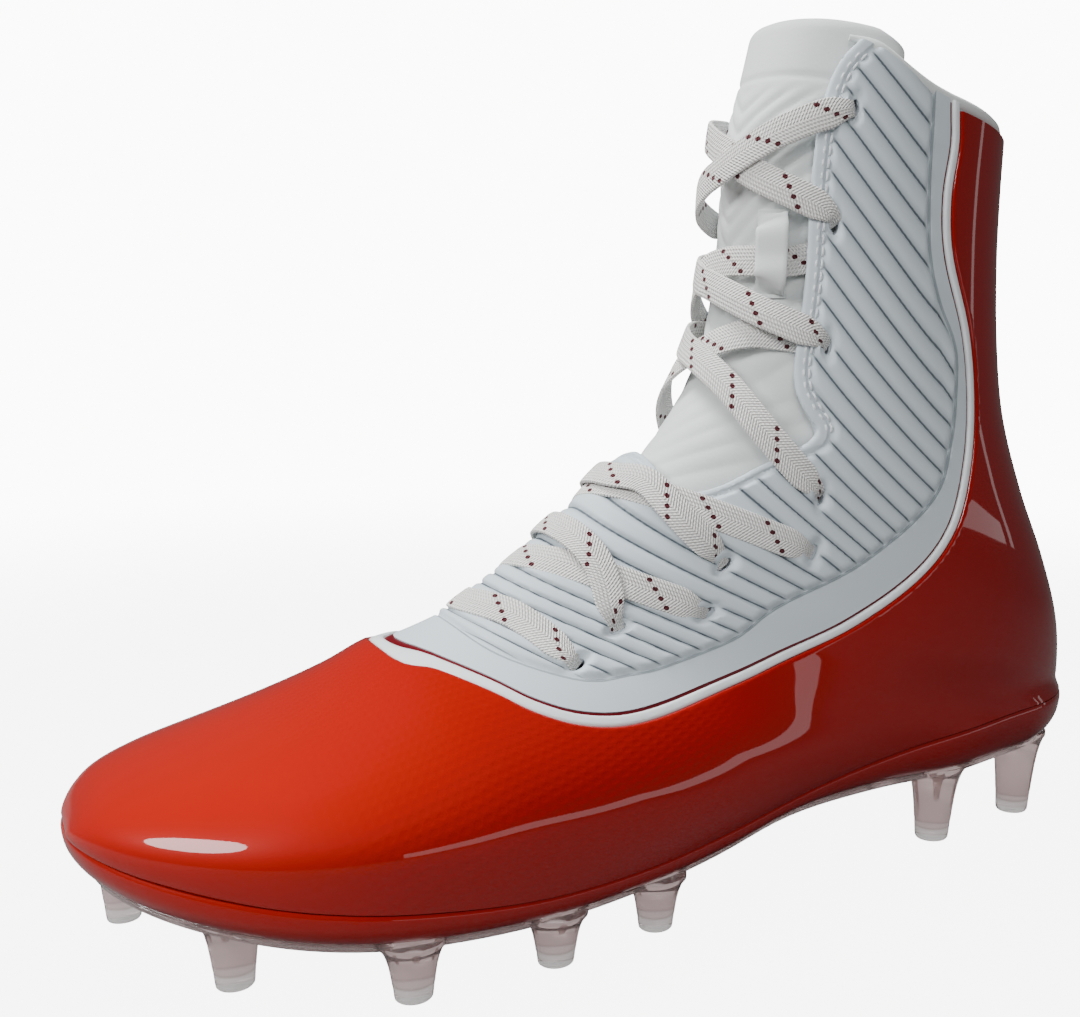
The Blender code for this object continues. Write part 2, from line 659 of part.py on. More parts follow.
def outsole(look):
    """The clear plate under the sole and its studs, moulded as one piece."""
    start = MIDSOLE_UNDERCUT + PLATE_INSET
    rings = [
        sole_ring(
            start + inset * PLATE_THICKNESS,
            lambda s, drop=drop: sole_bottom(s) - PLATE_GAP - drop * PLATE_THICKNESS,
        )
        for drop, inset in PLATE_PROFILE
    ]
    made = add_object("outsole", slab_mesh("outsole", rings), look)
    for name, station_share, side, inset, size in STUDS:
        station = LENGTH * station_share
        edge = float(outline_centre(station) + side * outline_half(station))
        stud = helper(name, stud_mesh(name, station, edge - side * inset * BALL_WIDTH, size))
        combine(made, stud, "UNION")
    return made


def insole(look):
    """The loose insole that lies on the sole inside the upper."""
    inset = OVERLAY_THICKNESS + OVERLAY_GAP + WALL + INSOLE_MARGIN
    rings = [
        sole_ring(inset + INSOLE_BEVEL, lambda s: seam_height(s) + CLEARANCE + INSOLE_THICKNESS),
        sole_ring(inset, lambda s: seam_height(s) + CLEARANCE),
    ]
    return add_object("insole", slab_mesh("insole", rings), look)


def tongue(look):
    """The padded tongue, under the upper's wall and above the collar in front."""
    places = np.linspace(-1, 1, TONGUE_COLUMNS)
    row = np.array([[entry[0]] * len(places) for entry in TONGUE])
    across = np.array([[entry[1] * place for place in places] for entry in TONGUE])
    under = WALL + TONGUE_GAP
    outer = layer(row, across, -under)
    inner = layer(row, across, -under - TONGUE_THICKNESS)
    return add_object("tongue", wall_mesh("tongue", outer, inner), look)


def band_mesh(name, places, lifts, width, thickness):
    """A flat band over the form through places told by row and across, lifted off it by their own heights."""
    path = curve_through(places, BAND_STEPS)
    lift = curve_through([(value,) for value in lifts], BAND_STEPS)[:, 0]
    row, across = path[:, 0], path[:, 1]
    middle = layer(row, across, lift)
    up = outward(row, across)
    along = np.gradient(middle, axis=0)
    sideways = np.cross(up, along)
    sideways *= width / 2 / np.linalg.norm(sideways, axis=1, keepdims=True)
    top = middle + thickness * up
    upper_face = np.stack([top - sideways, top + sideways], axis=1)
    lower_face = np.stack([middle - sideways, middle + sideways], axis=1)
    return wall_mesh(name, upper_face, lower_face)


def laces(look):
    """Each bar or crossing of the lace as one solid."""
    made = {}
    for name, places, level in LACES:
        lifts = [LACE_LIFT + level * LACE_STEP] * len(places)
        mesh = band_mesh(name, places, lifts, LACE_WIDTH, LACE_THICKNESS)
        if name in made:
            combine(made[name], helper(name + "_over", mesh), "UNION")
        else:
            made[name] = add_object(name, mesh, look)


def keeper(look):
    """The webbing loop on the tongue that the lace passes under."""
    low = CLEARANCE - WALL - TONGUE_GAP
    high = LACE_LIFT + LACE_STEP + LACE_THICKNESS + CLEARANCE
    places = [(row, KEEPER_ACROSS) for row in KEEPER_ROWS]
    mesh = band_mesh("lace_keeper", places, (low, high, high, high, low), KEEPER_WIDTH, KEEPER_THICKNESS)
    return add_object("lace_keeper", mesh, look)


def main():
    for old in list(bpy.data.objects):
        bpy.data.objects.remove(old)
    skin = material("ribbed_upper_skin", WHITE, 0.45)
    padding = material("tongue_padding", SOFT_WHITE, 0.6)
    patent = material("patent_overlay", RED, 0.12, coat=1.0)
    clear = material("clear_plate", SMOKE, 0.15, transmission=0.7)
    foam = material("insole_foam", GREY, 0.8)
    weave = material("lace_weave", SOFT_WHITE, 0.8)
    upper(skin)
    overlay(patent)
    midsole(patent)
    outsole(clear)
    insole(foam)
    tongue(padding)
    laces(weave)
    keeper(weave)


if __name__ == "__main__":
    main()
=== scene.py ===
"""Football cleat for the left foot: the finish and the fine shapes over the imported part.

The toe points to -Y, the outer side of the foot to +X, and the studs stand on z = 0. A place on the shoe is
told by the row of its section, from above the collar to the toe, and by across, which runs from 1 at the
outer base over the top at 0 to -1 at the inner base. Lengths are in metres.
"""

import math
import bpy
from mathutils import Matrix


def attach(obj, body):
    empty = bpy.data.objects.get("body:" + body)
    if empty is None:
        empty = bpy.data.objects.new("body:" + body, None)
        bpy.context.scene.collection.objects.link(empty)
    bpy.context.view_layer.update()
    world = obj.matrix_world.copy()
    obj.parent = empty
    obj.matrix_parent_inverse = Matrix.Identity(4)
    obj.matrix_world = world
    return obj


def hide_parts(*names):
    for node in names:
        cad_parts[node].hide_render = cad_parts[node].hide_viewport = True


bl_info = {
    "name": "Football cleat",
    "version": (1, 0, 0),
    "blender": (4, 5, 0),
    "location": "View3D > Sidebar > Cleat",
    "description": "Dresses a packed football cleat with its skins, laces, studs and stitches",
    "category": "Object",
}

import bmesh
import bpy
import numpy as np
from mathutils import Matrix, Vector, kdtree

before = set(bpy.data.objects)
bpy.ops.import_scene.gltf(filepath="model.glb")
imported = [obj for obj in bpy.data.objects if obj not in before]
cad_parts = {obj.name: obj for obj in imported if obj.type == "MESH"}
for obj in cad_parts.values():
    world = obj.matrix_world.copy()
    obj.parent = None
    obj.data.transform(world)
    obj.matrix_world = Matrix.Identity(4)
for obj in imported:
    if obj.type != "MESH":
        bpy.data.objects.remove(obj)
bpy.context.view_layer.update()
MM = 0.001

# Driving sizes
LENGTH = 0.294
BALL_WIDTH = 0.100
COLLAR_HEIGHT = 0.205
SEAM_HEIGHT = 0.028
STUD_HEIGHT = 0.0125

# The heel's axis stands this far to the outer side of the middle of the shoe's width.
HEEL_AXIS = 0.00095

# Walls, layers and the clearances between them
WALL = 0.0028
OVERLAY_THICKNESS = 0.0013
OVERLAY_GAP = 0.0005
TONGUE_THICKNESS = 0.0050
TONGUE_GAP = 0.0009
INSOLE_THICKNESS = 0.0035
INSOLE_MARGIN = 0.0025
INSOLE_BEVEL = 0.0018
PLATE_THICKNESS = 0.0024
PLATE_INSET = 0.0010
PLATE_GAP = 0.0005
MIDSOLE_UNDERCUT = 0.0040
CLEARANCE = 0.0003

# Flat bands: the laces and the loop on the tongue that keeps them
LACE_WIDTH = 0.0078
LACE_THICKNESS = 0.0013
KEEPER_WIDTH = 0.0085
KEEPER_THICKNESS = 0.0010

# Studs: radii along and across the foot, at the plate and at the tip
STUD_TOP_LENGTH = 0.0068
STUD_TOP_WIDTH = 0.0060
STUD_TIP_LENGTH = 0.0044
STUD_TIP_WIDTH = 0.0040

# Round ends of the sole's outline
HEEL_ROUND = 0.034
TOE_ROUND = 0.067
TOE_POWER = 2.15

# How the outward direction is taken from the form: the reach of its samples in rows and across, the last
# place across that is sampled, how far above the seam it starts to turn level, and over how many rows it
# turns at the heel and at the toe.
SAMPLE_ROWS = 0.05
SAMPLE_ACROSS = 0.02
LAST_SAMPLE = 0.96
LEVEL_ACROSS = 0.12
HEEL_TURN_ROWS = 0.6
TOE_TURN_ROWS = 0.4

# The sole's outline. station: of LENGTH. centre, half: of BALL_WIDTH, the centre line's offset to the outer
# side and the half width. The round ends close it at the heel and at the toe.
OUTLINE = (
    (0.000, 0.000, 0.352),
    (0.123, 0.005, 0.352),
    (0.192, 0.010, 0.357),
    (0.282, 0.020, 0.330),
    (0.381, 0.040, 0.315),
    (0.480, 0.060, 0.340),
    (0.580, 0.055, 0.400),
    (0.679, 0.030, 0.455),
    (0.761, 0.000, 0.480),
    (0.858, -0.045, 0.485),
    (0.937, -0.100, 0.485),
    (1.000, -0.140, 0.485),
)

# The edge where upper and sole meet. station: of LENGTH. seam: of SEAM_HEIGHT, its height. depth: of
# SEAM_HEIGHT, how far the sole's side reaches down from it.
SEAM = (
    (0.000, 1.000, 0.392),
    (0.102, 0.981, 0.447),
    (0.204, 0.874, 0.428),
    (0.306, 0.715, 0.304),
    (0.405, 0.536, 0.197),
    (0.493, 0.393, 0.214),
    (0.585, 0.321, 0.214),
    (0.680, 0.321, 0.233),
    (0.782, 0.421, 0.285),
    (0.857, 0.522, 0.304),
    (0.935, 0.654, 0.304),
    (1.000, 0.786, 0.285),
)

# Sections of the upper, from above the collar to the toe. top_station, base_station: of LENGTH.
# top_height: of COLLAR_HEIGHT. base_height: of COLLAR_HEIGHT up the heel's back line, 0 where the base lies
# on the seam. centre: of BALL_WIDTH, the top's offset. outer, inner: of BALL_WIDTH, how far the widest place
# stands outside the sole's outline there. widest: where along the section that is. base_power, top_power:
# how square its rounds are.
SECTION_COLUMNS = (
    "top_station", "top_height", "base_station", "base_height", "centre", "outer", "inner",
    "widest", "base_power", "top_power",
)
SECTIONS = (
    (0.388, 1.063, 0.129, 0.984, -0.02, -0.050, -0.030, 0.46, 2.2, 2.3),
    (0.401, 0.995, 0.126, 0.922, -0.02, -0.053, -0.033, 0.46, 2.2, 2.3),
    (0.415, 0.927, 0.125, 0.843, -0.02, -0.053, -0.033, 0.46, 2.2, 2.3),
    (0.422, 0.843, 0.124, 0.755, -0.02, -0.050, -0.030, 0.45, 2.2, 2.3),
    (0.425, 0.758, 0.119, 0.645, -0.02, -0.040, -0.020, 0.44, 2.2, 2.3),
    (0.433, 0.678, 0.107, 0.537, -0.02, -0.022, -0.002, 0.43, 2.2, 2.3),
    (0.453, 0.610, 0.076, 0.428, -0.02, -0.004, 0.014, 0.42, 2.2, 2.2),
    (0.479, 0.555, 0.037, 0.325, -0.02, 0.006, 0.022, 0.40, 2.2, 2.2),
    (0.510, 0.509, 0.008, 0.230, -0.02, 0.010, 0.024, 0.38, 2.2, 2.1),
    (0.541, 0.471, 0.000, 0.145, -0.02, 0.010, 0.022, 0.36, 2.2, 2.1),
    (0.570, 0.436, 0.020, 0.000, -0.02, 0.010, 0.020, 0.34, 2.2, 2.0),
    (0.598, 0.405, 0.069, 0.000, -0.02, 0.010, 0.018, 0.32, 2.2, 2.0),
    (0.624, 0.376, 0.138, 0.000, -0.03, 0.010, 0.016, 0.30, 2.2, 2.0),
    (0.650, 0.351, 0.227, 0.000, -0.04, 0.010, 0.014, 0.30, 2.2, 2.0),
    (0.676, 0.324, 0.331, 0.000, -0.05, 0.010, 0.012, 0.30, 2.2, 2.0),
    (0.701, 0.307, 0.436, 0.000, -0.06, 0.010, 0.012, 0.30, 2.2, 2.0),
    (0.726, 0.292, 0.535, 0.000, -0.07, 0.010, 0.012, 0.30, 2.2, 2.0),
    (0.753, 0.279, 0.626, 0.000, -0.08, 0.010, 0.012, 0.30, 2.2, 2.0),
    (0.782, 0.254, 0.709, 0.000, -0.09, 0.010, 0.012, 0.30, 2.2, 2.0),
    (0.816, 0.230, 0.783, 0.000, -0.10, 0.010, 0.012, 0.30, 2.2, 2.0),
    (0.854, 0.208, 0.848, 0.000, -0.11, 0.010, 0.012, 0.30, 2.2, 2.0),
    (0.895, 0.188, 0.901, 0.000, -0.12, 0.010, 0.012, 0.30, 2.2, 2.0),
    (0.935, 0.169, 0.944, 0.000, -0.13, 0.010, 0.012, 0.30, 2.2, 2.1),
    (0.969, 0.150, 0.976, 0.000, -0.14, 0.010, 0.012, 0.32, 2.2, 2.2),
    (0.985, 0.134, 0.988, 0.000, -0.14, 0.010, 0.012, 0.34, 2.2, 2.2),
    (0.994, 0.119, 0.996, 0.000, -0.14, 0.010, 0.012, 0.36, 2.2, 2.2),
    (0.998, 0.107, 0.998, 0.000, -0.14, 0.000, 0.000, 0.36, 2.2, 2.2),
)
COLLAR_ROW = 1
HEEL_ROW = 9
OVERLAY_TOP_ROW = 1.15

# The collar's points rise in front: where round the collar, over what width, and by how many rows.
PEAK_ACROSS = 0.29
PEAK_WIDTH = 0.24
PEAK_ROWS = 0.55

# The sole's side, from the seam down. drop: of its depth. inset: of MIDSOLE_UNDERCUT.
SIDE_PROFILE = ((0.00, 0.10), (0.15, 0.00), (0.50, 0.12), (0.80, 0.50), (1.00, 1.00))

# The plate's side. drop: of PLATE_THICKNESS. inset: of PLATE_THICKNESS.
PLATE_PROFILE = ((0.00, 0.25), (0.30, 0.00), (0.70, 0.05), (1.00, 0.45))

# The upper edge of the red overlay, seen from the side, from the toe's ridge back and up to the collar.
# station: of LENGTH. height: of COLLAR_HEIGHT.
OVERLAY_EDGE = (
    (0.756, 0.346),
    (0.748, 0.282),
    (0.719, 0.272),
    (0.689, 0.255),
    (0.660, 0.233),
    (0.626, 0.216),
    (0.585, 0.208),
    (0.537, 0.213),
    (0.473, 0.231),
    (0.429, 0.248),
    (0.348, 0.286),
    (0.279, 0.340),
    (0.239, 0.399),
    (0.219, 0.474),
    (0.208, 0.570),
    (0.213, 0.663),
    (0.238, 0.763),
    (0.243, 0.834),
    (0.237, 0.901),
    (0.240, 0.960),
    (0.243, 1.100),
)

# The tongue's rows, from above the collar to under the vamp. row: of the section table. half: how far it
# reaches round the foot to each side.
TONGUE = (
    (0.05, 0.350),
    (0.20, 0.410),
    (0.60, 0.440),
    (1.50, 0.430),
    (3.00, 0.410),
    (4.00, 0.390),
    (5.00, 0.375),
    (6.00, 0.365),
    (7.00, 0.360),
    (8.00, 0.345),
    (9.00, 0.325),
    (10.0, 0.300),
)

# Studs. station: of LENGTH. side: 1 outer, -1 inner. inset: of BALL_WIDTH, from the sole's outline to the
# stud's middle. size: of the stud's radii.
STUDS = (
    ("stud_toe_outer", 0.890, 1, 0.215, 1.00),
    ("stud_toe_inner", 0.954, -1, 0.105, 0.95),
    ("stud_ball_outer", 0.772, 1, 0.092, 1.00),
    ("stud_ball_inner", 0.830, -1, 0.125, 1.00),
    ("stud_middle_outer", 0.652, 1, 0.090, 1.00),
    ("stud_middle_inner", 0.708, -1, 0.125, 1.00),
    ("stud_waist_outer", 0.550, 1, 0.092, 1.00),
    ("stud_waist_inner", 0.585, -1, 0.120, 1.00),
    ("stud_heel_front_outer", 0.202, 1, 0.125, 1.15),
    ("stud_heel_front_inner", 0.198, -1, 0.120, 1.15),
    ("stud_heel_back_outer", 0.072, 1, 0.135, 1.15),
    ("stud_heel_back_inner", 0.072, -1, 0.125, 1.15),
)

# The loop on the tongue, by row and across
KEEPER_ROWS = (3.35, 3.52, 3.90, 4.22, 4.40)
KEEPER_ACROSS = 0.165

LAST_ROW = len(SECTIONS) - 1


def metres(station, height=0.0, across=0.0):
    """A place in the shoe's frame from its station, height and offset to the outer side, all in metres."""
    return (across + HEEL_AXIS, LENGTH / 2 - station, height + STUD_HEIGHT)


def ease(values, slopes, i, t, span=1.0):
    """The smooth curve's value at the share t of the way from the value at i to the next one."""
    return (
        values[i] * (1 + 2 * t) * (1 - t) ** 2
        + values[i + 1] * t * t * (3 - 2 * t)
        + span * slopes[i] * t * (1 - t) ** 2
        - span * slopes[i + 1] * t * t * (1 - t)
    )


def smooth(table, at, column):
    """The column's value at this place of the table's first column, by a curve through its rows."""
    keys = np.array([row[0] for row in table])
    values = np.array([row[column] for row in table])
    slopes = np.gradient(values, keys)
    at = np.clip(at, keys[0], keys[-1])
    i = np.clip(np.searchsorted(keys, at) - 1, 0, len(keys) - 2)
    span = keys[i + 1] - keys[i]
    return ease(values, slopes, i, (at - keys[i]) / span, span)


def outline_centre(station):
    return BALL_WIDTH * smooth(OUTLINE, station / LENGTH, 1)


def outline_half(station):
    """Half the sole's width: the table's body, closed by a round at the heel and at the toe."""
    body = BALL_WIDTH * smooth(OUTLINE, station / LENGTH, 2)
    back = np.clip(1 - station / HEEL_ROUND, 0, 1)
    front = np.clip((station - LENGTH + TOE_ROUND) / TOE_ROUND, 0, 1)
    return body * np.sqrt(1 - back**2) * (1 - front**TOE_POWER) ** (1 / TOE_POWER)


def inset_half(station, inset):
    """Half the sole's width less this inset, which fades out where the round ends close."""
    half = outline_half(station)
    return half - inset * np.clip(half / HEEL_ROUND, 0, 1)


def seam_height(station):
    return SEAM_HEIGHT * smooth(SEAM, station / LENGTH, 1)


def side_depth(station):
    return SEAM_HEIGHT * smooth(SEAM, station / LENGTH, 2)


def rows_curve(column, row, first, last, flat_start=False, flat_end=False):
    """One column of the section table as a curve of the row, through the rows from first to last."""
    index = SECTION_COLUMNS.index(column)
    values = np.array([entry[index] for entry in SECTIONS[first : last + 1]])
    slopes = np.gradient(values)
    if flat_start:
        slopes[0] = 0.0
    if flat_end:
        slopes[-1] = 0.0
    at = np.clip(row - first, 0, len(values) - 1)
    i = np.clip(np.floor(at).astype(int), 0, len(values) - 2)
    return ease(values, slopes, i, at - i)


def base_line(row):
    """Station and height of each row's base: down the back of the heel, then along the seam to the toe."""
    back_station = rows_curve("base_station", row, 0, HEEL_ROW, flat_end=True)
    back_height = rows_curve("base_height", row, 0, HEEL_ROW)
    sole_station = rows_curve("base_station", row, HEEL_ROW, LAST_ROW, flat_start=True, flat_end=True)
    on_back = row < HEEL_ROW
    station = LENGTH * np.where(on_back, back_station, sole_station)
    # The back line ends on the seam, whatever the two heights are set to.
    corner = COLLAR_HEIGHT * SECTIONS[HEEL_ROW][SECTION_COLUMNS.index("base_height")]
    drop = (seam_height(0.0) - corner) * np.clip(row / HEEL_ROW, 0, 1) ** 2
    height = np.where(on_back, COLLAR_HEIGHT * back_height + drop, seam_height(station))
    return station, height + CLEARANCE


def form(row, across):
    """Points of the upper's outer face.

    across runs from 1 at the outer base over the top at 0 to -1 at the inner base.
    """
    row, across = np.broadcast_arrays(np.asarray(row, float), np.asarray(across, float))
    side = np.where(across < 0, -1.0, 1.0)
    top_station = LENGTH * rows_curve("top_station", row, 0, LAST_ROW, flat_end=True)
    top_height = COLLAR_HEIGHT * rows_curve("top_height", row, 0, LAST_ROW)
    centre = BALL_WIDTH * rows_curve("centre", row, 0, LAST_ROW)
    widest = rows_curve("widest", row, 0, LAST_ROW)
    base_station, base_height = base_line(row)
    flare = BALL_WIDTH * np.where(
        side > 0,
        rows_curve("outer", row, 0, LAST_ROW),
        rows_curve("inner", row, 0, LAST_ROW),
    )
    inset = OVERLAY_THICKNESS + OVERLAY_GAP
    wide_station = base_station + widest * (top_station - base_station)
    edge = outline_centre(wide_station) + side * inset_half(wide_station, inset - flare)
    base_half = np.where(row < HEEL_ROW, 0.0, inset_half(base_station, inset))
    base_centre = outline_centre(base_station)
    base_power = rows_curve("base_power", row, 0, LAST_ROW)
    top_power = rows_curve("top_power", row, 0, LAST_ROW)
    # Under the widest place the section is a round that ends at the base's half width.
    reach = np.maximum(np.abs(edge - base_centre), 1e-6)
    last_angle = np.arccos(np.clip(base_half / reach, 0, 1 - 1e-9) ** (base_power / 2))
    under = np.abs(across) > 0.5
    low = last_angle * (2 * np.abs(across) - 1).clip(0, 1)
    high = math.pi / 2 * (1 - 2 * np.abs(across)).clip(0, 1)
    drop = np.clip(np.sin(low) / np.sin(last_angle), 0, 1) ** (2 / base_power)
    rise = np.sin(high) ** (2 / top_power)
    share = np.where(under, widest * (1 - drop), widest + (1 - widest) * rise)
    low_x = base_centre + (edge - base_centre) * np.cos(low) ** (2 / base_power)
    # Where the base stands wider than that, the section leans in from it.
    low_x += side * np.maximum(base_half - reach, 0.0) * (2 * np.abs(across) - 1).clip(0, 1) ** 2
    high_x = centre + (edge - centre) * np.clip(np.cos(high), 0, 1) ** (2 / top_power)
    x = np.where(under, low_x, high_x)
    station = base_station + share * (top_station - base_station)
    height = base_height + share * np.maximum(top_height - base_height, 0.0)
    # The overlay's ends are level with the sole's.
    station = inset + station * (1 - 2 * inset / LENGTH)
    return np.stack(metres(station, height, x), axis=-1)


def form_normal(row, across):
    """The form's outward direction, taken from places a little way off on each side."""
    along = form(row + SAMPLE_ROWS, across) - form(row - SAMPLE_ROWS, across)
    round_foot = form(row, across + SAMPLE_ACROSS) - form(row, across - SAMPLE_ACROSS)
    normal = np.cross(along, round_foot)
    return normal / np.linalg.norm(normal, axis=-1, keepdims=True)


def outward(row, across):
    """The direction in which layers are set off: outwards, and level at the seam so that walls stay thick."""
    row, across = np.broadcast_arrays(np.asarray(row, float), np.asarray(across, float))
    at_row = np.clip(row, SAMPLE_ROWS, LAST_ROW - TOE_TURN_ROWS)
    normal = form_normal(at_row, np.clip(across, -LAST_SAMPLE, LAST_SAMPLE))
    near_seam = 1 - np.clip((1 - np.abs(across)) / LEVEL_ACROSS, 0, 1)
    normal[..., 2] *= 1 - near_seam * np.clip(row - HEEL_ROW + 1, 0, 1)
    # Both sides share one direction where they meet down the back of the heel.
    shared = form_normal(at_row, np.full_like(across, LAST_SAMPLE)) * (0.0, 1.0, 1.0)
    shared[..., 2] *= 1 - np.clip(row - HEEL_ROW + 1, 0, 1)
    beyond = np.clip((np.abs(across) - LAST_SAMPLE) / (1 - LAST_SAMPLE), 0, 1)
    blend = (beyond * np.clip(1 - (row - HEEL_ROW) / HEEL_TURN_ROWS, 0, 1))[..., None]
    normal = normal * (1 - blend) + shared * blend
    # At the toe's tip the layers lie in front of each other.
    tip = np.clip(1 - (LAST_ROW - row) / TOE_TURN_ROWS, 0, 1)[..., None]
    normal = normal * (1 - tip) + np.array((0.0, -1.0, 0.0)) * tip
    return normal / np.linalg.norm(normal, axis=-1, keepdims=True)


def layer(row, across, offset):
    """The form moved outwards by the offset, or inwards where it is negative."""
    return form(row, across) + np.asarray(offset)[..., None] * outward(row, across)


def curve_through(points, steps):
    """An even number of points on a smooth curve through these."""
    points = np.array(points, float)
    slopes = np.gradient(points, axis=0)
    at = np.linspace(0, len(points) - 1, steps)
    i = np.clip(at.astype(int), 0, len(points) - 2)
    return ease(points, slopes, i, (at - i)[:, None])


def lengths_along(points):
    """The length of the way to each of these points, through those before it."""
    return np.concatenate([[0], np.cumsum(np.linalg.norm(np.diff(points, axis=0), axis=1))])


def collar_line(across):
    """The row where the collar's edge lies: it rises to a point on each side of the throat."""
    away = np.clip(np.abs(np.abs(across) - PEAK_ACROSS) / PEAK_WIDTH, 0, 1)
    return COLLAR_ROW - PEAK_ROWS * 0.5 * (1 + np.cos(math.pi * away))


def sole_bottom(station):
    return seam_height(station) - side_depth(station)


def plate_bottom(station):
    return sole_bottom(station) - PLATE_GAP - PLATE_THICKNESS


# Places on the shoe that the finish needs

# The inner edge of the plain band, where the ribs end, seen from the side, from the toe's ridge back and up
# to the collar. station: of LENGTH. height: of COLLAR_HEIGHT.
RIB_EDGE = (
    (0.716, 0.420),
    (0.706, 0.350),
    (0.690, 0.312),
    (0.665, 0.285),
    (0.609, 0.259),
    (0.568, 0.259),
    (0.531, 0.264),
    (0.463, 0.288),
    (0.422, 0.322),
    (0.338, 0.371),
    (0.262, 0.451),
    (0.241, 0.522),
    (0.233, 0.580),
    (0.232, 0.644),
    (0.252, 0.702),
    (0.265, 0.761),
    (0.269, 0.841),
    (0.269, 0.946),
    (0.272, 1.100),
)

# The edge of the throat, seen from the front, from the middle of the vamp's upper edge, which stands up in a
# low peak, round the foot of the flap and up to the collar. height: of COLLAR_HEIGHT. half: of BALL_WIDTH.
THROAT_EDGE = (
    (0.512, -0.020),
    (0.508, 0.030),
    (0.497, 0.080),
    (0.476, 0.130),
    (0.466, 0.170),
    (0.474, 0.200),
    (0.500, 0.236),
    (0.522, 0.268),
    (0.542, 0.276),
    (0.566, 0.258),
    (0.600, 0.236),
    (0.650, 0.224),
    (0.800, 0.212),
    (0.920, 0.210),
    (0.975, 0.215),
    (1.010, 0.235),
    (1.070, 0.290),
)
FLAP_ROWS = (0.70, 6.55)

# The ribs. row: where a groove starts, at RIB_START. sweep: by how many rows it runs down for each whole of
# across. pitch: millimetres between grooves, at RIB_MIDDLE. power: how flat the rib's top is.
RIBS = (
    (0.0, 6.2, 5.3, 2.2),
    (4.0, 7.6, 5.3, 2.2),
    (6.0, 8.4, 5.2, 2.4),
    (7.0, 7.9, 5.0, 3.0),
    (8.0, 6.9, 4.9, 3.6),
    (9.0, 5.7, 4.8, 4.0),
    (10.0, 4.6, 4.7, 4.0),
    (12.0, 3.0, 4.7, 4.0),
    (14.0, 0.5, 4.7, 4.0),
    (17.0, -1.0, 4.7, 4.0),
)
RIB_START = 0.25
RIB_MIDDLE = 0.36
RIDGE_ROUND = 0.05

# How far from the throat, in mm, the ribs begin to rise and stand full, on the vamp and along the flaps
VAMP_RISE = (2.0, 3.4)
FLAP_RISE = (3.8, 5.6)

# The skin's reliefs: the plain band, the binding, the roll into the throat and the rim of a lace hole
BAND_HEIGHT = 0.5 * MM
BINDING_HEIGHT = 0.55 * MM
ROLL_DEPTH = 0.8 * MM
ROLL_WIDTH = 1.2 * MM
RIM_DEPTH = 0.4 * MM
SKIN_LIFT = 0.1 * MM
SKIN_UNDERSIDE = -0.95 * MM

# The moulded edge beside the red overlay, outwards from it
TRIM_WIDTH = 2.3 * MM
TRIM_HEIGHT = 1.35 * MM
PIPING_WIDTH = 0.8 * MM
OVERLAY_ROUND = 0.7 * MM

# The flap's binding along the throat and its line of stitches
BINDING_WIDTH = 3.3 * MM
STITCH_PITCH = 3.1 * MM
STITCH_LENGTH = 2.3 * MM
STITCH_RADIUS = 0.32 * MM
STITCH_LIFT = 0.62 * MM

# The tongue's padding, in mm: its girth for a whole of across, the round of its edges, the seam under its
# plain top, the ribs of its slanting quilting, and those of the panel below that.
TONGUE_GIRTH = 95
TONGUE_ROUND = 3.5
TONGUE_SEAM = 15.0
QUILT_PITCH = 6.2
PANEL_PITCH = 7.0

# Lace holes of the outer side, by row and across; the inner side mirrors them.
EYELETS = (
    (14.12, 0.250),
    (12.92, 0.240),
    (11.68, 0.285),
    (10.04, 0.250),
    (8.76, 0.320),
    (7.60, 0.310),
    (5.00, 0.300),
    (3.32, 0.310),
    (1.64, 0.330),
)
EYELET_LENGTH = 5.0 * MM
EYELET_WIDTH = 2.4 * MM

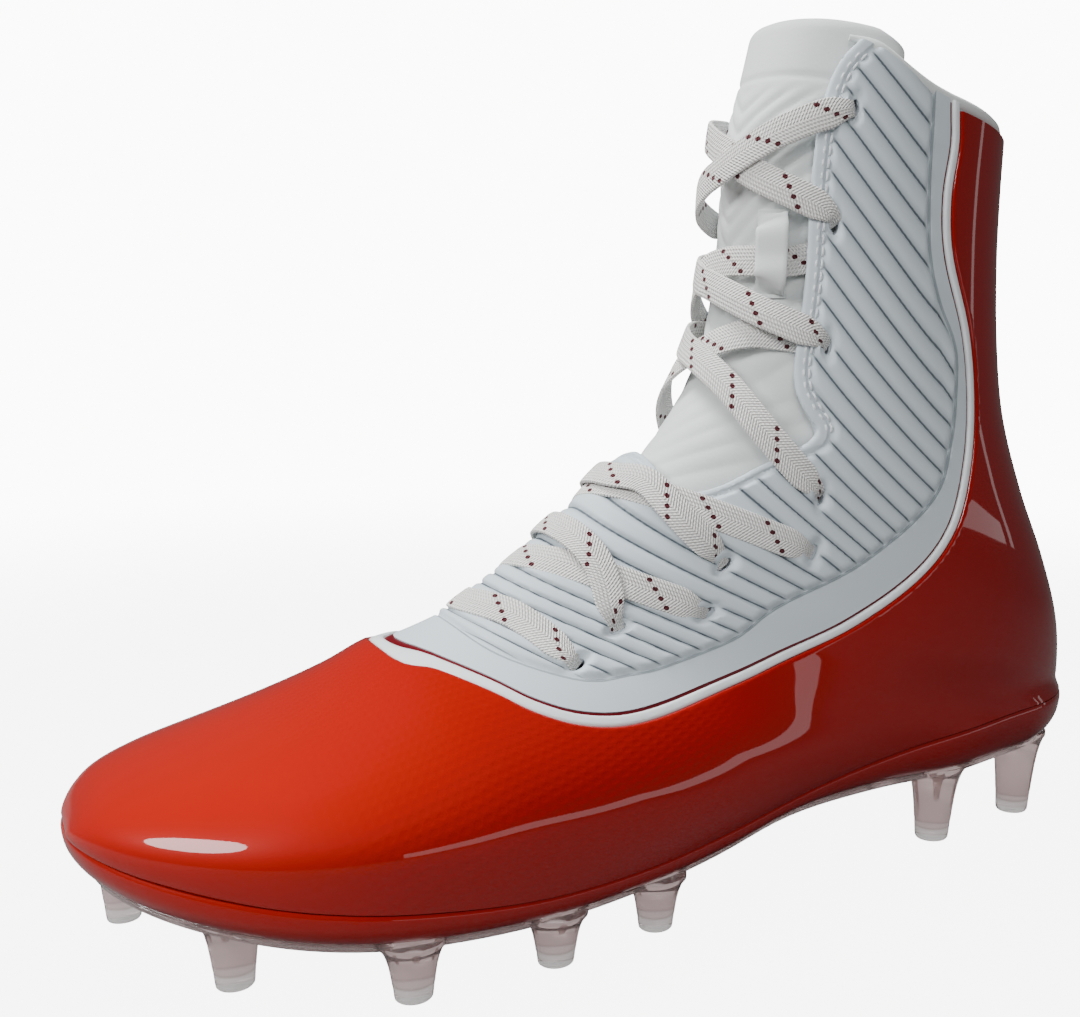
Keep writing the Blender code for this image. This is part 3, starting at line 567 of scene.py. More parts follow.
# Strands of the lace, by row, across and lift over the form in mm. Each comes up out of a lace hole, crosses
# over, and goes down under the other flap or into the other hole.
STRANDS = (
    ("lace_bar_cord", ((14.12, -0.25, -1.5), (14.1, -0.235, 1.0), (13.9, -0.15, 1.4), (13.8, 0.0, 1.6),
                       (13.6, 0.12, 1.5), (14.02, 0.225, 1.2), (14.12, 0.25, -1.5))),
    ("lace_first_under", ((12.92, -0.24, -1.5), (12.7, -0.225, 1.0), (12.2, -0.10, 1.2), (11.75, 0.02, 1.0),
                          (11.55, 0.12, 1.0), (11.62, 0.255, 1.2), (11.68, 0.285, -1.5))),
    ("lace_first_over", ((11.68, -0.285, -1.5), (11.5, -0.25, 1.2), (10.9, -0.10, 2.2), (10.65, 0.03, 2.6),
                         (11.15, 0.13, 2.9), (12.5, 0.21, 1.8), (12.92, 0.24, -1.5))),
    ("lace_second_under", ((10.04, -0.25, -1.5), (9.9, -0.23, 1.0), (9.5, -0.10, 1.2), (9.05, 0.03, 1.0),
                           (8.85, 0.14, 1.1), (8.78, 0.29, 1.3), (8.76, 0.32, -1.5))),
    ("lace_second_over", ((8.76, -0.32, -1.5), (8.75, -0.29, 1.3), (8.95, -0.12, 2.4), (8.85, 0.03, 2.8),
                          (8.75, 0.11, 3.0), (9.6, 0.215, 2.0), (10.04, 0.25, -1.5))),
    ("lace_third_under", ((7.60, -0.31, -1.5), (7.4, -0.285, 1.1), (6.4, -0.14, 1.2), (5.6, 0.0, 0.2),
                          (5.15, 0.12, -0.6), (5.02, 0.21, -3.0), (4.98, 0.27, -3.3))),
    ("lace_third_over", ((7.60, 0.31, -1.5), (7.35, 0.285, 1.1), (6.2, 0.14, 1.6), (5.6, 0.0, 2.0),
                         (5.2, -0.12, 0.4), (5.02, -0.21, -3.0), (4.98, -0.27, -3.3))),
    ("lace_fourth_under", ((5.00, -0.30, -1.5), (4.9, -0.27, 1.1), (4.45, -0.12, 0.8), (4.12, -0.01, 0.0),
                           (4.02, 0.12, -0.5), (3.95, 0.20, -1.8), (3.8, 0.27, -3.3))),
    ("lace_fourth_over", ((5.00, 0.30, -1.5), (4.92, 0.27, 1.3), (4.75, 0.15, 1.8), (4.4, 0.0, 2.0),
                          (4.1, -0.12, 0.4), (3.95, -0.20, -2.4), (3.8, -0.27, -3.3))),
    ("lace_top_under", ((3.32, 0.31, -1.5), (3.15, 0.285, 1.1), (2.8, 0.12, 1.0), (2.35, -0.02, 0.6),
                        (2.05, -0.14, 1.2), (1.75, -0.29, 1.3), (1.64, -0.33, -1.5))),
    ("lace_top_over", ((1.64, 0.33, -1.5), (1.72, 0.305, 1.3), (2.2, 0.18, 1.9), (2.75, 0.03, 2.4),
                       (3.1, -0.12, 2.0), (3.25, -0.28, 1.3), (3.32, -0.31, -1.5))),
)
STANDS_FOR = {
    "lace_bar_cord": "lace_bar",
    "lace_first_under": "lace_crossing_1",
    "lace_second_under": "lace_crossing_2",
    "lace_third_under": "lace_crossing_3",
    "lace_fourth_under": "lace_crossing_4",
    "lace_top_under": "lace_crossing_5",
}
# A flat band's section, of half its width and of its thickness
BAND_SECTION = (
    (-1.0, 0.0), (-0.94, 0.36), (-0.7, 0.5), (0.0, 0.56), (0.7, 0.5), (0.94, 0.36),
    (1.0, 0.0), (0.94, -0.36), (0.7, -0.5), (0.0, -0.5), (-0.7, -0.5), (-0.94, -0.36),
)

# A stud's side from its tip up. rise: of its height. swell: from the tip's radii at 0 to the plate's at 1.
STUD_SIDE = (
    (0.00, -0.12), (0.02, 0.00), (0.06, 0.05), (0.25, 0.17), (0.28, 0.22), (0.45, 0.36),
    (0.62, 0.53), (0.76, 0.74), (0.87, 0.98), (0.95, 1.24), (1.00, 1.50),
)

# The photograph's viewing angle
CAMERA_PLACE = (0.27945, -0.1576, 0.1473)
CAMERA_TARGET = (0.00095, -0.007, 0.0835)
CAMERA_LENS = 40.0
CAMERA_SHIFT = (-0.074, 0.064)
CAMERA_ROLL = 0.5

# Softboxes. place, target: in metres. size: across and up, in metres. power: in watts. mirrored: whether the
# gloss shows it.
SOFTBOXES = (
    ("top_softbox", (-0.3, -0.3, 1.1), (0.0, 0.0, 0.05), (0.4, 0.4), 20.0, "RECTANGLE", False),
    ("fill_softbox", (0.9, -0.5, 0.7), (0.0, 0.0, 0.08), (0.5, 0.5), 6.0, "RECTANGLE", False),
    ("key_softbox", (0.12, -1.0, 0.75), (0.0, 0.0, 0.08), (0.6, 0.46), 12.0, "ELLIPSE", True),
    ("side_strip", (0.9, 0.95, 0.06), (0.0, 0.95, 0.05), (2.1, 0.1), 1.2, "RECTANGLE", True),
    ("heel_strip", (0.35, 1.0, 0.3), (0.0, 0.1, 0.1), (0.05, 0.5), 0.12, "RECTANGLE", True),
)

# How bright the room and the floor are to the camera, through clear pieces, and for all other rays
ROOM_STRENGTHS = (11.0, 1.3, 0.11)
FLOOR_STRENGTHS = (7.0, 0.9, 0.0)


# Sizes and colours that a user may change


def linear(text):
    """The linear colour of an sRGB hex value."""
    channels = [int(text[i : i + 2], 16) / 255 for i in (1, 3, 5)]
    return tuple(c / 12.92 if c <= 0.04045 else ((c + 0.055) / 1.055) ** 2.4 for c in channels)


def colour(text, title, description):
    return bpy.props.FloatVectorProperty(
        name=title, description=description, subtype="COLOR", size=3, min=0.0, max=1.0,
        default=linear(text),
    )


def distance(value, title, description):
    return bpy.props.FloatProperty(
        name=title, description=description, subtype="DISTANCE", unit="LENGTH", default=value, min=0.0
    )


class CleatColours(bpy.types.PropertyGroup):
    # The toe and heel reds are partly the film's tint and partly painted light, brighter where the toe is lit
    # and darker where the heel is shaded.
    toe_red_tint_and_light: colour("#a61303", "Red at the toe", "Where the film is brightest")
    side_red: colour("#970601", "Red along the side", "The overlay's main colour")
    heel_red_tint_and_shade: colour("#7e0301", "Red at the heel", "Where the film is darkest")
    skin_white: colour("#c9d3d9", "White of the skin", "The ribbed skin of the upper")
    # This grey is painted shade, in the grooves between the skin's ribs and between the lace's threads.
    painted_shade_grey: colour("#58636b", "Grey of the grooves", "The bottom of the grooves between the ribs")
    trim_white: colour("#e2e6e8", "White of the edge", "The moulded edge and the binding")
    piping_red: colour("#5d0611", "Red of the piping", "The thin line beside the moulded edge")
    tongue_white: colour("#d6dad9", "White of the tongue", "The tongue's knit and its loop")
    lining_grey: colour("#b9c1c8", "Grey of the lining", "The knit inside the upper")
    lace_white: colour("#f4f2ee", "White of the laces", "The braid")
    fleck_red: colour("#4a0d18", "Red of the flecks", "The threads that show in the braid")
    smoke: colour("#cbb5b3", "Smoky clear", "The plate and the studs")
    clear_tip: colour("#e6dedc", "Clear tips", "The lowest millimetres of the studs")
    floor_white: colour("#6e6e6e", "Floor", "The studio floor")


class CleatSizes(bpy.types.PropertyGroup):
    rib_height: distance(1.25 * MM, "Rib height", "How far a rib stands above its grooves")
    trim_height: distance(TRIM_HEIGHT, "Edge height", "How far the moulded edge stands above the form")
    lace_width: distance(LACE_WIDTH, "Lace width", "The flat lace's width")
    stitch_length: distance(STITCH_LENGTH, "Stitch length", "One stitch of the flap's binding")


def colours():
    return bpy.context.scene.cleat_colours


def sizes():
    return bpy.context.scene.cleat_sizes


# Materials

# Widths in mm of what the finishes' patterns repeat. The knit, the grains and the thread's twist are finer on
# a real shoe and are drawn as coarse as they need to show.
FILM_MOTTLE = 14.2857
FILM_PUCKER = 9.0909
FILM_DOTS = (2.6, 2.3)
SKIN_GRAIN = 0.66667
EDGE_GRAIN = 1.1111
KNIT_LOOPS = 0.90909
KNIT_WAVES = 6.25
PLATE_WAVES = 4.5455
THREAD_TWIST = 0.33333
PAPER_GRAIN = 3.3333
BRAID_THREADS = 0.9
BRAID_ROWS = 0.95
FLECK_REPEAT = 18.0
FLECK_ROWS = 1.8
FLECK_SLANT = 1.15

# What makes a Map Range node a smooth step, from 0 at its first end to 1 at the other
SMOOTH_STEP = {"interpolation_type": "SMOOTHSTEP"}


def per_metre(width):
    """A pattern's scale where each part of it is this many millimetres wide."""
    return 1 / (width * MM)


def paint(name):
    """One of the shoe's colours, with its alpha."""
    return (*getattr(colours(), name), 1.0)


def add_node(tree, kind, output, inputs, **settings):
    """One output of a new node with these settings. Each input is a value or the output of another node."""
    node = tree.nodes.new("ShaderNode" + kind)
    for name, value in settings.items():
        setattr(node, name, value)
    for name, value in inputs.items():
        if isinstance(value, bpy.types.NodeSocket):
            tree.links.new(value, node.inputs[name])
        else:
            node.inputs[name].default_value = value
    return node.outputs[output]


def new_material(name, base, roughness, **sockets):
    """A material, its node tree and its Principled shader, with the sockets set."""
    made = bpy.data.materials.new(name)
    made.use_nodes = True
    shader = made.node_tree.nodes["Principled BSDF"]
    shader.inputs["Base Color"].default_value = base
    shader.inputs["Roughness"].default_value = roughness
    for socket, value in sockets.items():
        shader.inputs[socket.replace("_", " ")].default_value = value
    return made, made.node_tree, shader


def patent_red():
    """Patent film: polyurethane moulded over fabric and clear-coated. It mirrors the room over a deep red."""
    made, tree, shader = new_material(
        "patent_polyurethane_film", paint("side_red"), 0.4, Coat_Weight=0.9, Coat_Roughness=0.03, IOR=1.5,
        Specular_IOR_Level=0.1,
    )
    place = add_node(tree, "TexCoord", "Object", {})
    along = add_node(tree, "SeparateXYZ", "Y", {"Vector": place})
    height = add_node(tree, "SeparateXYZ", "Z", {"Vector": place})
    # Partly the film's colour-shifting tint and partly painted light: the red runs from a brighter, lit toe
    # to a darker, shaded heel.
    past_toe = add_node(
        tree, "MapRange", "Result", {"Value": along, "From Min": -0.13, "From Max": -0.03}, **SMOOTH_STEP
    )
    to_side = add_node(
        tree, "Mix", 2, {0: past_toe, 6: paint("toe_red_tint_and_light"), 7: paint("side_red")}, data_type="RGBA"
    )
    past_middle = add_node(
        tree, "MapRange", "Result", {"Value": along, "From Min": 0.0, "From Max": 0.12}, **SMOOTH_STEP
    )
    to_heel = add_node(tree, "Mix", 2, {0: past_middle, 6: to_side, 7: paint("heel_red_tint_and_shade")}, data_type="RGBA")
    # Painted shade darkens the film towards the seam, and the film is mottled by its backing.
    low = add_node(
        tree, "MapRange", "Result", {"Value": height, "From Min": 0.055, "From Max": 0.02}, **SMOOTH_STEP
    )
    darker = add_node(tree, "Math", "Value", {0: low, 1: 0.45}, operation="MULTIPLY")
    deep = add_node(tree, "Mix", 2, {0: darker, 6: to_heel, 7: paint("heel_red_tint_and_shade")}, data_type="RGBA")
    backing = add_node(
        tree, "TexNoise", "Fac", {"Vector": place, "Scale": per_metre(FILM_MOTTLE), "Detail": 3.0}
    )
    mottle = add_node(tree, "Math", "Value", {0: backing, 1: 0.3}, operation="MULTIPLY")
    film = add_node(tree, "Mix", 2, {0: mottle, 6: deep, 7: paint("side_red")}, data_type="RGBA")
    tree.links.new(film, shader.inputs["Base Color"])
    # Embossed dots on the side of the forefoot, 2.6 mm apart in rows 2.3 mm apart.
    grid = add_node(tree, "UVMap", "UV", {}, uv_map="mm")
    spread = add_node(
        tree, "Mapping", "Vector", {"Vector": grid, "Scale": (1 / FILM_DOTS[0], 1 / FILM_DOTS[1], 1)}
    )
    from_dot = add_node(
        tree, "TexVoronoi", "Distance", {"Vector": spread, "Scale": 1.0, "Randomness": 0.12},
        voronoi_dimensions="2D",
    )
    dots = add_node(
        tree, "MapRange", "Result", {"Value": from_dot, "From Min": 0.46, "From Max": 0.12}, **SMOOTH_STEP
    )
    front = add_node(
        tree, "MapRange", "Result", {"Value": along, "From Min": -0.112, "From Max": -0.08}, **SMOOTH_STEP
    )
    back = add_node(
        tree, "MapRange", "Result", {"Value": along, "From Min": 0.03, "From Max": -0.02}, **SMOOTH_STEP
    )
    window = add_node(tree, "Math", "Value", {0: front, 1: back}, operation="MULTIPLY")
    embossed = add_node(tree, "Math", "Value", {0: window, 1: dots}, operation="MULTIPLY")
    # The film puckers a little where it was drawn round the sole, about every 9 mm.
    pucker = add_node(
        tree, "TexNoise", "Fac", {"Vector": place, "Scale": per_metre(FILM_PUCKER), "Detail": 2.0}
    )
    relief = add_node(
        tree, "Bump", "Normal", {"Height": embossed, "Strength": 0.22, "Distance": 0.2 * MM}
    )
    surface = add_node(
        tree, "Bump", "Normal", {"Height": pucker, "Strength": 0.1, "Distance": 0.35 * MM, "Normal": relief}
    )
    tree.links.new(surface, shader.inputs["Normal"])
    return made


def moulded_skin():
    """Thermoplastic polyurethane pressed over foam: satin white with a fine grain, and grooves darkened by
    painted shade.
    """
    made, tree, shader = new_material(
        "pressed_polyurethane_skin", paint("skin_white"), 0.46, Coat_Weight=0.1, Coat_Roughness=0.35, IOR=1.48
    )
    phase = add_node(tree, "Attribute", "Fac", {}, attribute_name="rib")
    mask = add_node(tree, "Attribute", "Fac", {}, attribute_name="rib_mask")
    in_rib = add_node(tree, "Math", "Value", {0: phase}, operation="FRACT")
    off_middle = add_node(tree, "Math", "Value", {0: in_rib, 1: 0.5}, operation="SUBTRACT")
    from_middle = add_node(tree, "Math", "Value", {0: off_middle}, operation="ABSOLUTE")
    # Painted shade: grooves 0.5 mm wide on ribs about 5 mm apart are darkened grey, with a softer painted
    # shade beside them.
    line = add_node(
        tree, "MapRange", "Result", {"Value": from_middle, "From Min": 0.43, "From Max": 0.49}, **SMOOTH_STEP
    )
    shade = add_node(
        tree, "MapRange", "Result", {"Value": from_middle, "From Min": 0.22, "From Max": 0.5}, **SMOOTH_STEP
    )
    line_share = add_node(tree, "Math", "Value", {0: line, 1: 0.8}, operation="MULTIPLY")
    shade_share = add_node(tree, "Math", "Value", {0: shade, 1: 0.36}, operation="MULTIPLY")
    grooves = add_node(tree, "Math", "Value", {0: line_share, 1: shade_share}, operation="ADD")
    masked = add_node(tree, "Math", "Value", {0: grooves, 1: mask}, operation="MULTIPLY")
    # A thin groove parts the ribbed field from the plain band; painted shade darkens it.
    band = add_node(tree, "Attribute", "Fac", {}, attribute_name="band_mm")
    off_parting = add_node(tree, "Math", "Value", {0: band, 1: 0.3}, operation="ADD")
    from_parting = add_node(tree, "Math", "Value", {0: off_parting}, operation="ABSOLUTE")
    parting = add_node(
        tree, "MapRange", "Result", {"Value": from_parting, "From Min": 0.42, "From Max": 0.12}, **SMOOTH_STEP
    )
    parting_share = add_node(tree, "Math", "Value", {0: parting, 1: 0.6}, operation="MULTIPLY")
    share = add_node(tree, "Math", "Value", {0: masked, 1: parting_share}, operation="MAXIMUM")
    skin = add_node(
        tree, "Mix", 2, {0: share, 6: paint("skin_white"), 7: paint("painted_shade_grey")}, data_type="RGBA"
    )
    tree.links.new(skin, shader.inputs["Base Color"])
    cut_line = add_node(tree, "Math", "Value", {0: line, 1: mask}, operation="MULTIPLY")
    depth = add_node(tree, "Math", "Value", {0: cut_line, 1: parting}, operation="MAXIMUM")
    height = add_node(tree, "Math", "Value", {0: depth, 1: -1.0}, operation="MULTIPLY")
    place = add_node(tree, "TexCoord", "Object", {})
    grain = add_node(
        tree, "TexNoise", "Fac", {"Vector": place, "Scale": per_metre(SKIN_GRAIN), "Detail": 3.0}
    )
    relief = add_node(
        tree, "Bump", "Normal", {"Height": grain, "Strength": 0.14, "Distance": 0.05 * MM}
    )
    surface = add_node(
        tree, "Bump", "Normal", {"Height": height, "Strength": 0.6, "Distance": 0.5 * MM, "Normal": relief}
    )
    tree.links.new(surface, shader.inputs["Normal"])
    return made


def grained(name, base, roughness, grain, strength, reach, **sockets):
    """A finish of one colour with one fine grain, its width given in mm."""
    made, tree, shader = new_material(name, base, roughness, **sockets)
    place = add_node(tree, "TexCoord", "Object", {})
    noise = add_node(tree, "TexNoise", "Fac", {"Vector": place, "Scale": per_metre(grain), "Detail": 2.0})
    surface = add_node(
        tree, "Bump", "Normal", {"Height": noise, "Strength": strength, "Distance": reach * MM}
    )
    tree.links.new(surface, shader.inputs["Normal"])
    return made


def moulded_edge_white():
    """The same polyurethane moulded smooth and thicker, for the edge and the binding."""
    return grained(
        "moulded_polyurethane_edge", paint("trim_white"), 0.35, EDGE_GRAIN, 0.08, 0.05,
        Coat_Weight=0.2, Coat_Roughness=0.2, IOR=1.48,
    )


def printed_piping():
    """A satin print in the groove beside the moulded edge."""
    return grained("printed_piping", paint("piping_red"), 0.38, EDGE_GRAIN, 0.1, 0.04)


def stitching_thread():
    """Twisted polyester thread, matt."""
    return grained("twisted_thread", paint("trim_white"), 0.8, THREAD_TWIST, 0.3, 0.05)


def knitted(name, base, sheen):
    """Polyester knit over foam: matt, with loops about 0.9 mm apart, drawn as coarse as they need to show."""
    made, tree, shader = new_material(name, base, 0.8, Sheen_Weight=sheen, Sheen_Roughness=0.5)
    place = add_node(tree, "TexCoord", "Object", {})
    loops = add_node(tree, "TexVoronoi", "Distance", {"Vector": place, "Scale": per_metre(KNIT_LOOPS)})
    waves = add_node(
        tree, "TexNoise", "Fac", {"Vector": place, "Scale": per_metre(KNIT_WAVES), "Detail": 2.0}
    )
    relief = add_node(
        tree, "Bump", "Normal", {"Height": loops, "Strength": 0.25, "Distance": 0.12 * MM}
    )
    surface = add_node(
        tree, "Bump", "Normal", {"Height": waves, "Strength": 0.12, "Distance": 0.3 * MM, "Normal": relief}
    )
    tree.links.new(surface, shader.inputs["Normal"])
    return made


def clear_smoke():
    """Clear polyurethane, injection moulded: it lets light through, blurs it, and is clearest in the tips."""
    made, tree, shader = new_material(
        "injected_clear_polyurethane", paint("smoke"), 0.14, Transmission_Weight=0.75, IOR=1.5,
        Coat_Weight=0.5, Coat_Roughness=0.08,
    )
    place = add_node(tree, "TexCoord", "Object", {})
    height = add_node(tree, "SeparateXYZ", "Z", {"Vector": place})
    tip = add_node(
        tree, "MapRange", "Result", {"Value": height, "From Min": 0.0045, "From Max": 0.0033}, **SMOOTH_STEP
    )
    # A darker line shows where the tip meets the rest of the stud.
    off_line = add_node(tree, "Math", "Value", {0: height, 1: 0.0042}, operation="SUBTRACT")
    from_line = add_node(tree, "Math", "Value", {0: off_line}, operation="ABSOLUTE")
    line = add_node(
        tree, "MapRange", "Result", {"Value": from_line, "From Min": 0.0006, "From Max": 0.0}, **SMOOTH_STEP
    )
    line_share = add_node(tree, "Math", "Value", {0: line, 1: 0.5}, operation="MULTIPLY")
    paler = add_node(tree, "Mix", 2, {0: tip, 6: paint("smoke"), 7: paint("clear_tip")}, data_type="RGBA")
    darker = (*(0.45 * channel for channel in colours().smoke), 1.0)
    clear = add_node(tree, "Mix", 2, {0: line_share, 6: paler, 7: darker}, data_type="RGBA")
    tree.links.new(clear, shader.inputs["Base Color"])
    waves = add_node(
        tree, "TexNoise", "Fac", {"Vector": place, "Scale": per_metre(PLATE_WAVES), "Detail": 2.0}
    )
    surface = add_node(
        tree, "Bump", "Normal", {"Height": waves, "Strength": 0.12, "Distance": 0.2 * MM}
    )
    tree.links.new(surface, shader.inputs["Normal"])
    return made


def woven_braid():
    """Flat polyester braid: threads slant 0.9 mm apart, with a slanting row of red flecks every 18 mm."""
    made, tree, shader = new_material("woven_polyester_braid", paint("lace_white"), 0.85, Sheen_Weight=0.15)
    grid = add_node(tree, "UVMap", "UV", {}, uv_map="mm")
    run = add_node(tree, "SeparateXYZ", "X", {"Vector": grid})
    side = add_node(tree, "SeparateXYZ", "Y", {"Vector": grid})
    from_middle = add_node(tree, "Math", "Value", {0: side}, operation="ABSOLUTE")
    # The threads slant away from the lace's middle to both sides, over rows that run along it.
    slant = add_node(tree, "Math", "Value", {0: from_middle, 1: 0.8}, operation="MULTIPLY")
    slanted = add_node(tree, "Math", "Value", {0: run, 1: slant}, operation="ADD")
    turns = add_node(
        tree, "Math", "Value", {0: slanted, 1: 2 * math.pi / BRAID_THREADS}, operation="MULTIPLY"
    )
    thread = add_node(tree, "Math", "Value", {0: turns}, operation="SINE")
    turns = add_node(tree, "Math", "Value", {0: side, 1: 2 * math.pi / BRAID_ROWS}, operation="MULTIPLY")
    rows = add_node(tree, "Math", "Value", {0: turns}, operation="SINE")
    lower_rows = add_node(tree, "Math", "Value", {0: rows, 1: 0.6}, operation="MULTIPLY")
    weave = add_node(tree, "Math", "Value", {0: thread, 1: lower_rows}, operation="ADD")
    # Each fleck is a square with round corners in the middle of its cell, one cell for each row of flecks.
    cell = add_node(tree, "Math", "Value", {0: side, 1: FLECK_ROWS}, operation="FLOORED_MODULO")
    across_cell = add_node(tree, "Math", "Value", {0: cell, 1: FLECK_ROWS / 2}, operation="SUBTRACT")
    cell_middle = add_node(tree, "Math", "Value", {0: side, 1: across_cell}, operation="SUBTRACT")
    shift = add_node(tree, "Math", "Value", {0: cell_middle, 1: FLECK_SLANT}, operation="MULTIPLY")
    shifted = add_node(tree, "Math", "Value", {0: run, 1: shift}, operation="ADD")
    repeat = add_node(tree, "Math", "Value", {0: shifted, 1: FLECK_REPEAT}, operation="FLOORED_MODULO")
    along_cell = add_node(tree, "Math", "Value", {0: repeat, 1: FLECK_REPEAT / 2}, operation="SUBTRACT")
    corner = []
    for off, reach in ((along_cell, 0.72), (across_cell, 0.58)):
        part = add_node(tree, "Math", "Value", {0: off, 1: reach}, operation="DIVIDE")
        size = add_node(tree, "Math", "Value", {0: part}, operation="ABSOLUTE")
        corner.append(add_node(tree, "Math", "Value", {0: size, 1: 2.6}, operation="POWER"))
    size = add_node(tree, "Math", "Value", {0: corner[0], 1: corner[1]}, operation="ADD")
    square = add_node(tree, "Math", "Value", {0: size, 1: 1.0}, operation="LESS_THAN")
    inside = add_node(tree, "Math", "Value", {0: from_middle, 1: 3.6}, operation="LESS_THAN")
    fleck = add_node(tree, "Math", "Value", {0: square, 1: inside}, operation="MULTIPLY")
    # The red thread shows a little through the white ones between its flecks.
    shift = add_node(tree, "Math", "Value", {0: side, 1: FLECK_SLANT}, operation="MULTIPLY")
    shifted = add_node(tree, "Math", "Value", {0: run, 1: shift}, operation="ADD")
    repeat = add_node(tree, "Math", "Value", {0: shifted, 1: FLECK_REPEAT}, operation="FLOORED_MODULO")
    off_thread = add_node(tree, "Math", "Value", {0: repeat, 1: FLECK_REPEAT / 2}, operation="SUBTRACT")
    from_thread = add_node(tree, "Math", "Value", {0: off_thread}, operation="ABSOLUTE")
    streak = add_node(
        tree, "MapRange", "Result", {"Value": from_thread, "From Min": 1.1, "From Max": 0.2}, **SMOOTH_STEP
    )
    tint = add_node(tree, "Math", "Value", {0: streak, 1: 0.35}, operation="MULTIPLY")
    pinker = tuple(0.6 * a + 0.4 * b for a, b in zip(paint("lace_white"), paint("piping_red")))
    # Painted shade darkens the braid between its threads.
    between = add_node(
        tree, "MapRange", "Result", {"Value": weave, "From Min": 0.3, "From Max": -1.3}, **SMOOTH_STEP
    )
    shadow = add_node(tree, "Math", "Value", {0: between, 1: 0.4}, operation="MULTIPLY")
    shaded = add_node(
        tree, "Mix", 2, {0: shadow, 6: paint("lace_white"), 7: paint("painted_shade_grey")}, data_type="RGBA"
    )
    ground = add_node(tree, "Mix", 2, {0: tint, 6: shaded, 7: pinker}, data_type="RGBA")
    braid = add_node(tree, "Mix", 2, {0: fleck, 6: ground, 7: paint("fleck_red")}, data_type="RGBA")
    tree.links.new(braid, shader.inputs["Base Color"])
    surface = add_node(
        tree, "Bump", "Normal", {"Height": weave, "Strength": 0.8, "Distance": 0.2 * MM}
    )
    tree.links.new(surface, shader.inputs["Normal"])
    return made


def shown(tree, to_camera, through, otherwise):
    """A strength that differs for rays from the camera, for rays through clear pieces, and for all others."""
    seen = add_node(tree, "LightPath", "Is Camera Ray", {})
    passed = add_node(tree, "LightPath", "Is Transmission Ray", {})
    camera = add_node(tree, "Math", "Value", {0: seen, 1: to_camera}, operation="MULTIPLY")
    clear = add_node(tree, "Math", "Value", {0: passed, 1: through}, operation="MULTIPLY")
    both = add_node(tree, "Math", "Value", {0: camera, 1: clear}, operation="ADD")
    return add_node(tree, "Math", "Value", {0: both, 1: otherwise}, operation="ADD")


def matt_floor():
    """Matt white studio paper. It shines towards the camera and runs out into the white room round it."""
    made, tree, shader = new_material("studio_paper", paint("floor_white"), 0.8)
    place = add_node(tree, "TexCoord", "Object", {})
    grain = add_node(
        tree, "TexNoise", "Fac", {"Vector": place, "Scale": per_metre(PAPER_GRAIN), "Detail": 2.0}
    )
    surface = add_node(
        tree, "Bump", "Normal", {"Height": grain, "Strength": 0.02, "Distance": 0.1 * MM}
    )
    tree.links.new(surface, shader.inputs["Normal"])
    shader.inputs["Emission Color"].default_value = (1.0, 1.0, 1.0, 1.0)
    tree.links.new(shown(tree, *FLOOR_STRENGTHS), shader.inputs["Emission Strength"])
    length = add_node(tree, "VectorMath", "Value", {0: place}, operation="LENGTH")
    far = add_node(
        tree, "MapRange", "Result", {"Value": length, "From Min": 0.3, "From Max": 0.9}, **SMOOTH_STEP
    )
    clear = add_node(tree, "BsdfTransparent", "BSDF", {})
    both = add_node(tree, "MixShader", "Shader", {0: far, 1: shader.outputs["BSDF"], 2: clear})
    tree.links.new(both, tree.nodes["Material Output"].inputs["Surface"])
    return made


MAKERS = {
    "red": patent_red,
    "skin": moulded_skin,
    "edge": moulded_edge_white,
    "piping": printed_piping,
    "tongue": lambda: knitted("tongue_knit", paint("tongue_white"), 0.25),
    "lining": lambda: knitted("lining_knit", paint("lining_grey"), 0.1),
    "smoke": clear_smoke,
    "lace": woven_braid,
    "thread": stitching_thread,
    "floor": matt_floor,
}
finishes = {}


def finish(name):
    """The shared material of this name, made when it is first asked for."""
    if name not in finishes:
        finishes[name] = MAKERS[name]()
    return finishes[name]


# Meshes


def add_piece(name, mesh, look, crease=50):
    """An object of this mesh that rides on the shoe."""
    made = bpy.data.objects.new(name, mesh)
    bpy.context.scene.collection.objects.link(made)
    mesh.materials.append(finish(look))
    mesh.shade_smooth()
    mesh.set_sharp_from_angle(angle=math.radians(crease))
    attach(made, "root")
    return made


def tidy_mesh(name, points, faces):
    """A mesh whose doubled points are joined and whose faces turn outwards."""
    mesh = bpy.data.meshes.new(name)
    mesh.from_pydata(np.asarray(points).tolist(), [], faces)
    shape = bmesh.new()
    shape.from_mesh(mesh)
    bmesh.ops.remove_doubles(shape, verts=shape.verts, dist=2e-6)
    bmesh.ops.recalc_face_normals(shape, faces=shape.faces)
    shape.to_mesh(mesh)
    shape.free()
    return mesh


def round_rings(centre, radius, sideways, up, turns):
    """Round rings of points about each centre, in the plane of its two directions."""
    circle = (
        np.cos(turns)[None, :, None] * sideways[:, None] + np.sin(turns)[None, :, None] * up[:, None]
    )
    return centre[:, None] + np.asarray(radius)[..., None, None] * circle


def tube_parts(rings, first=0):
    """Faces of a closed tube through rings of points."""
    count, around = rings.shape[:2]
    last = first + (count - 1) * around
    faces = [tuple(range(first, first + around)), tuple(range(last + around - 1, last - 1, -1))]
    for i in range(count - 1):
        for j in range(around):
            a, b = first + i * around + j, first + i * around + (j + 1) % around
            faces.append((b, a, a + around, b + around))
    return faces


def set_map(mesh, uv):
    """The mesh's map in millimetres, from a pair for each point."""
    corner = np.empty(len(mesh.loops), np.int32)
    mesh.loops.foreach_get("vertex_index", corner)
    mesh.uv_layers.new(name="mm").data.foreach_set("uv", uv[corner].ravel())


def row_lengths():
    """Rows, and the lengths in mm down to them, a third of the way round the foot."""
    rows = np.arange(0, LAST_ROW + 0.05, 0.1)
    points = form(rows, np.full_like(rows, 0.3))
    return rows, lengths_along(points) / MM


ROWS_AT, ROWS_MM = row_lengths()


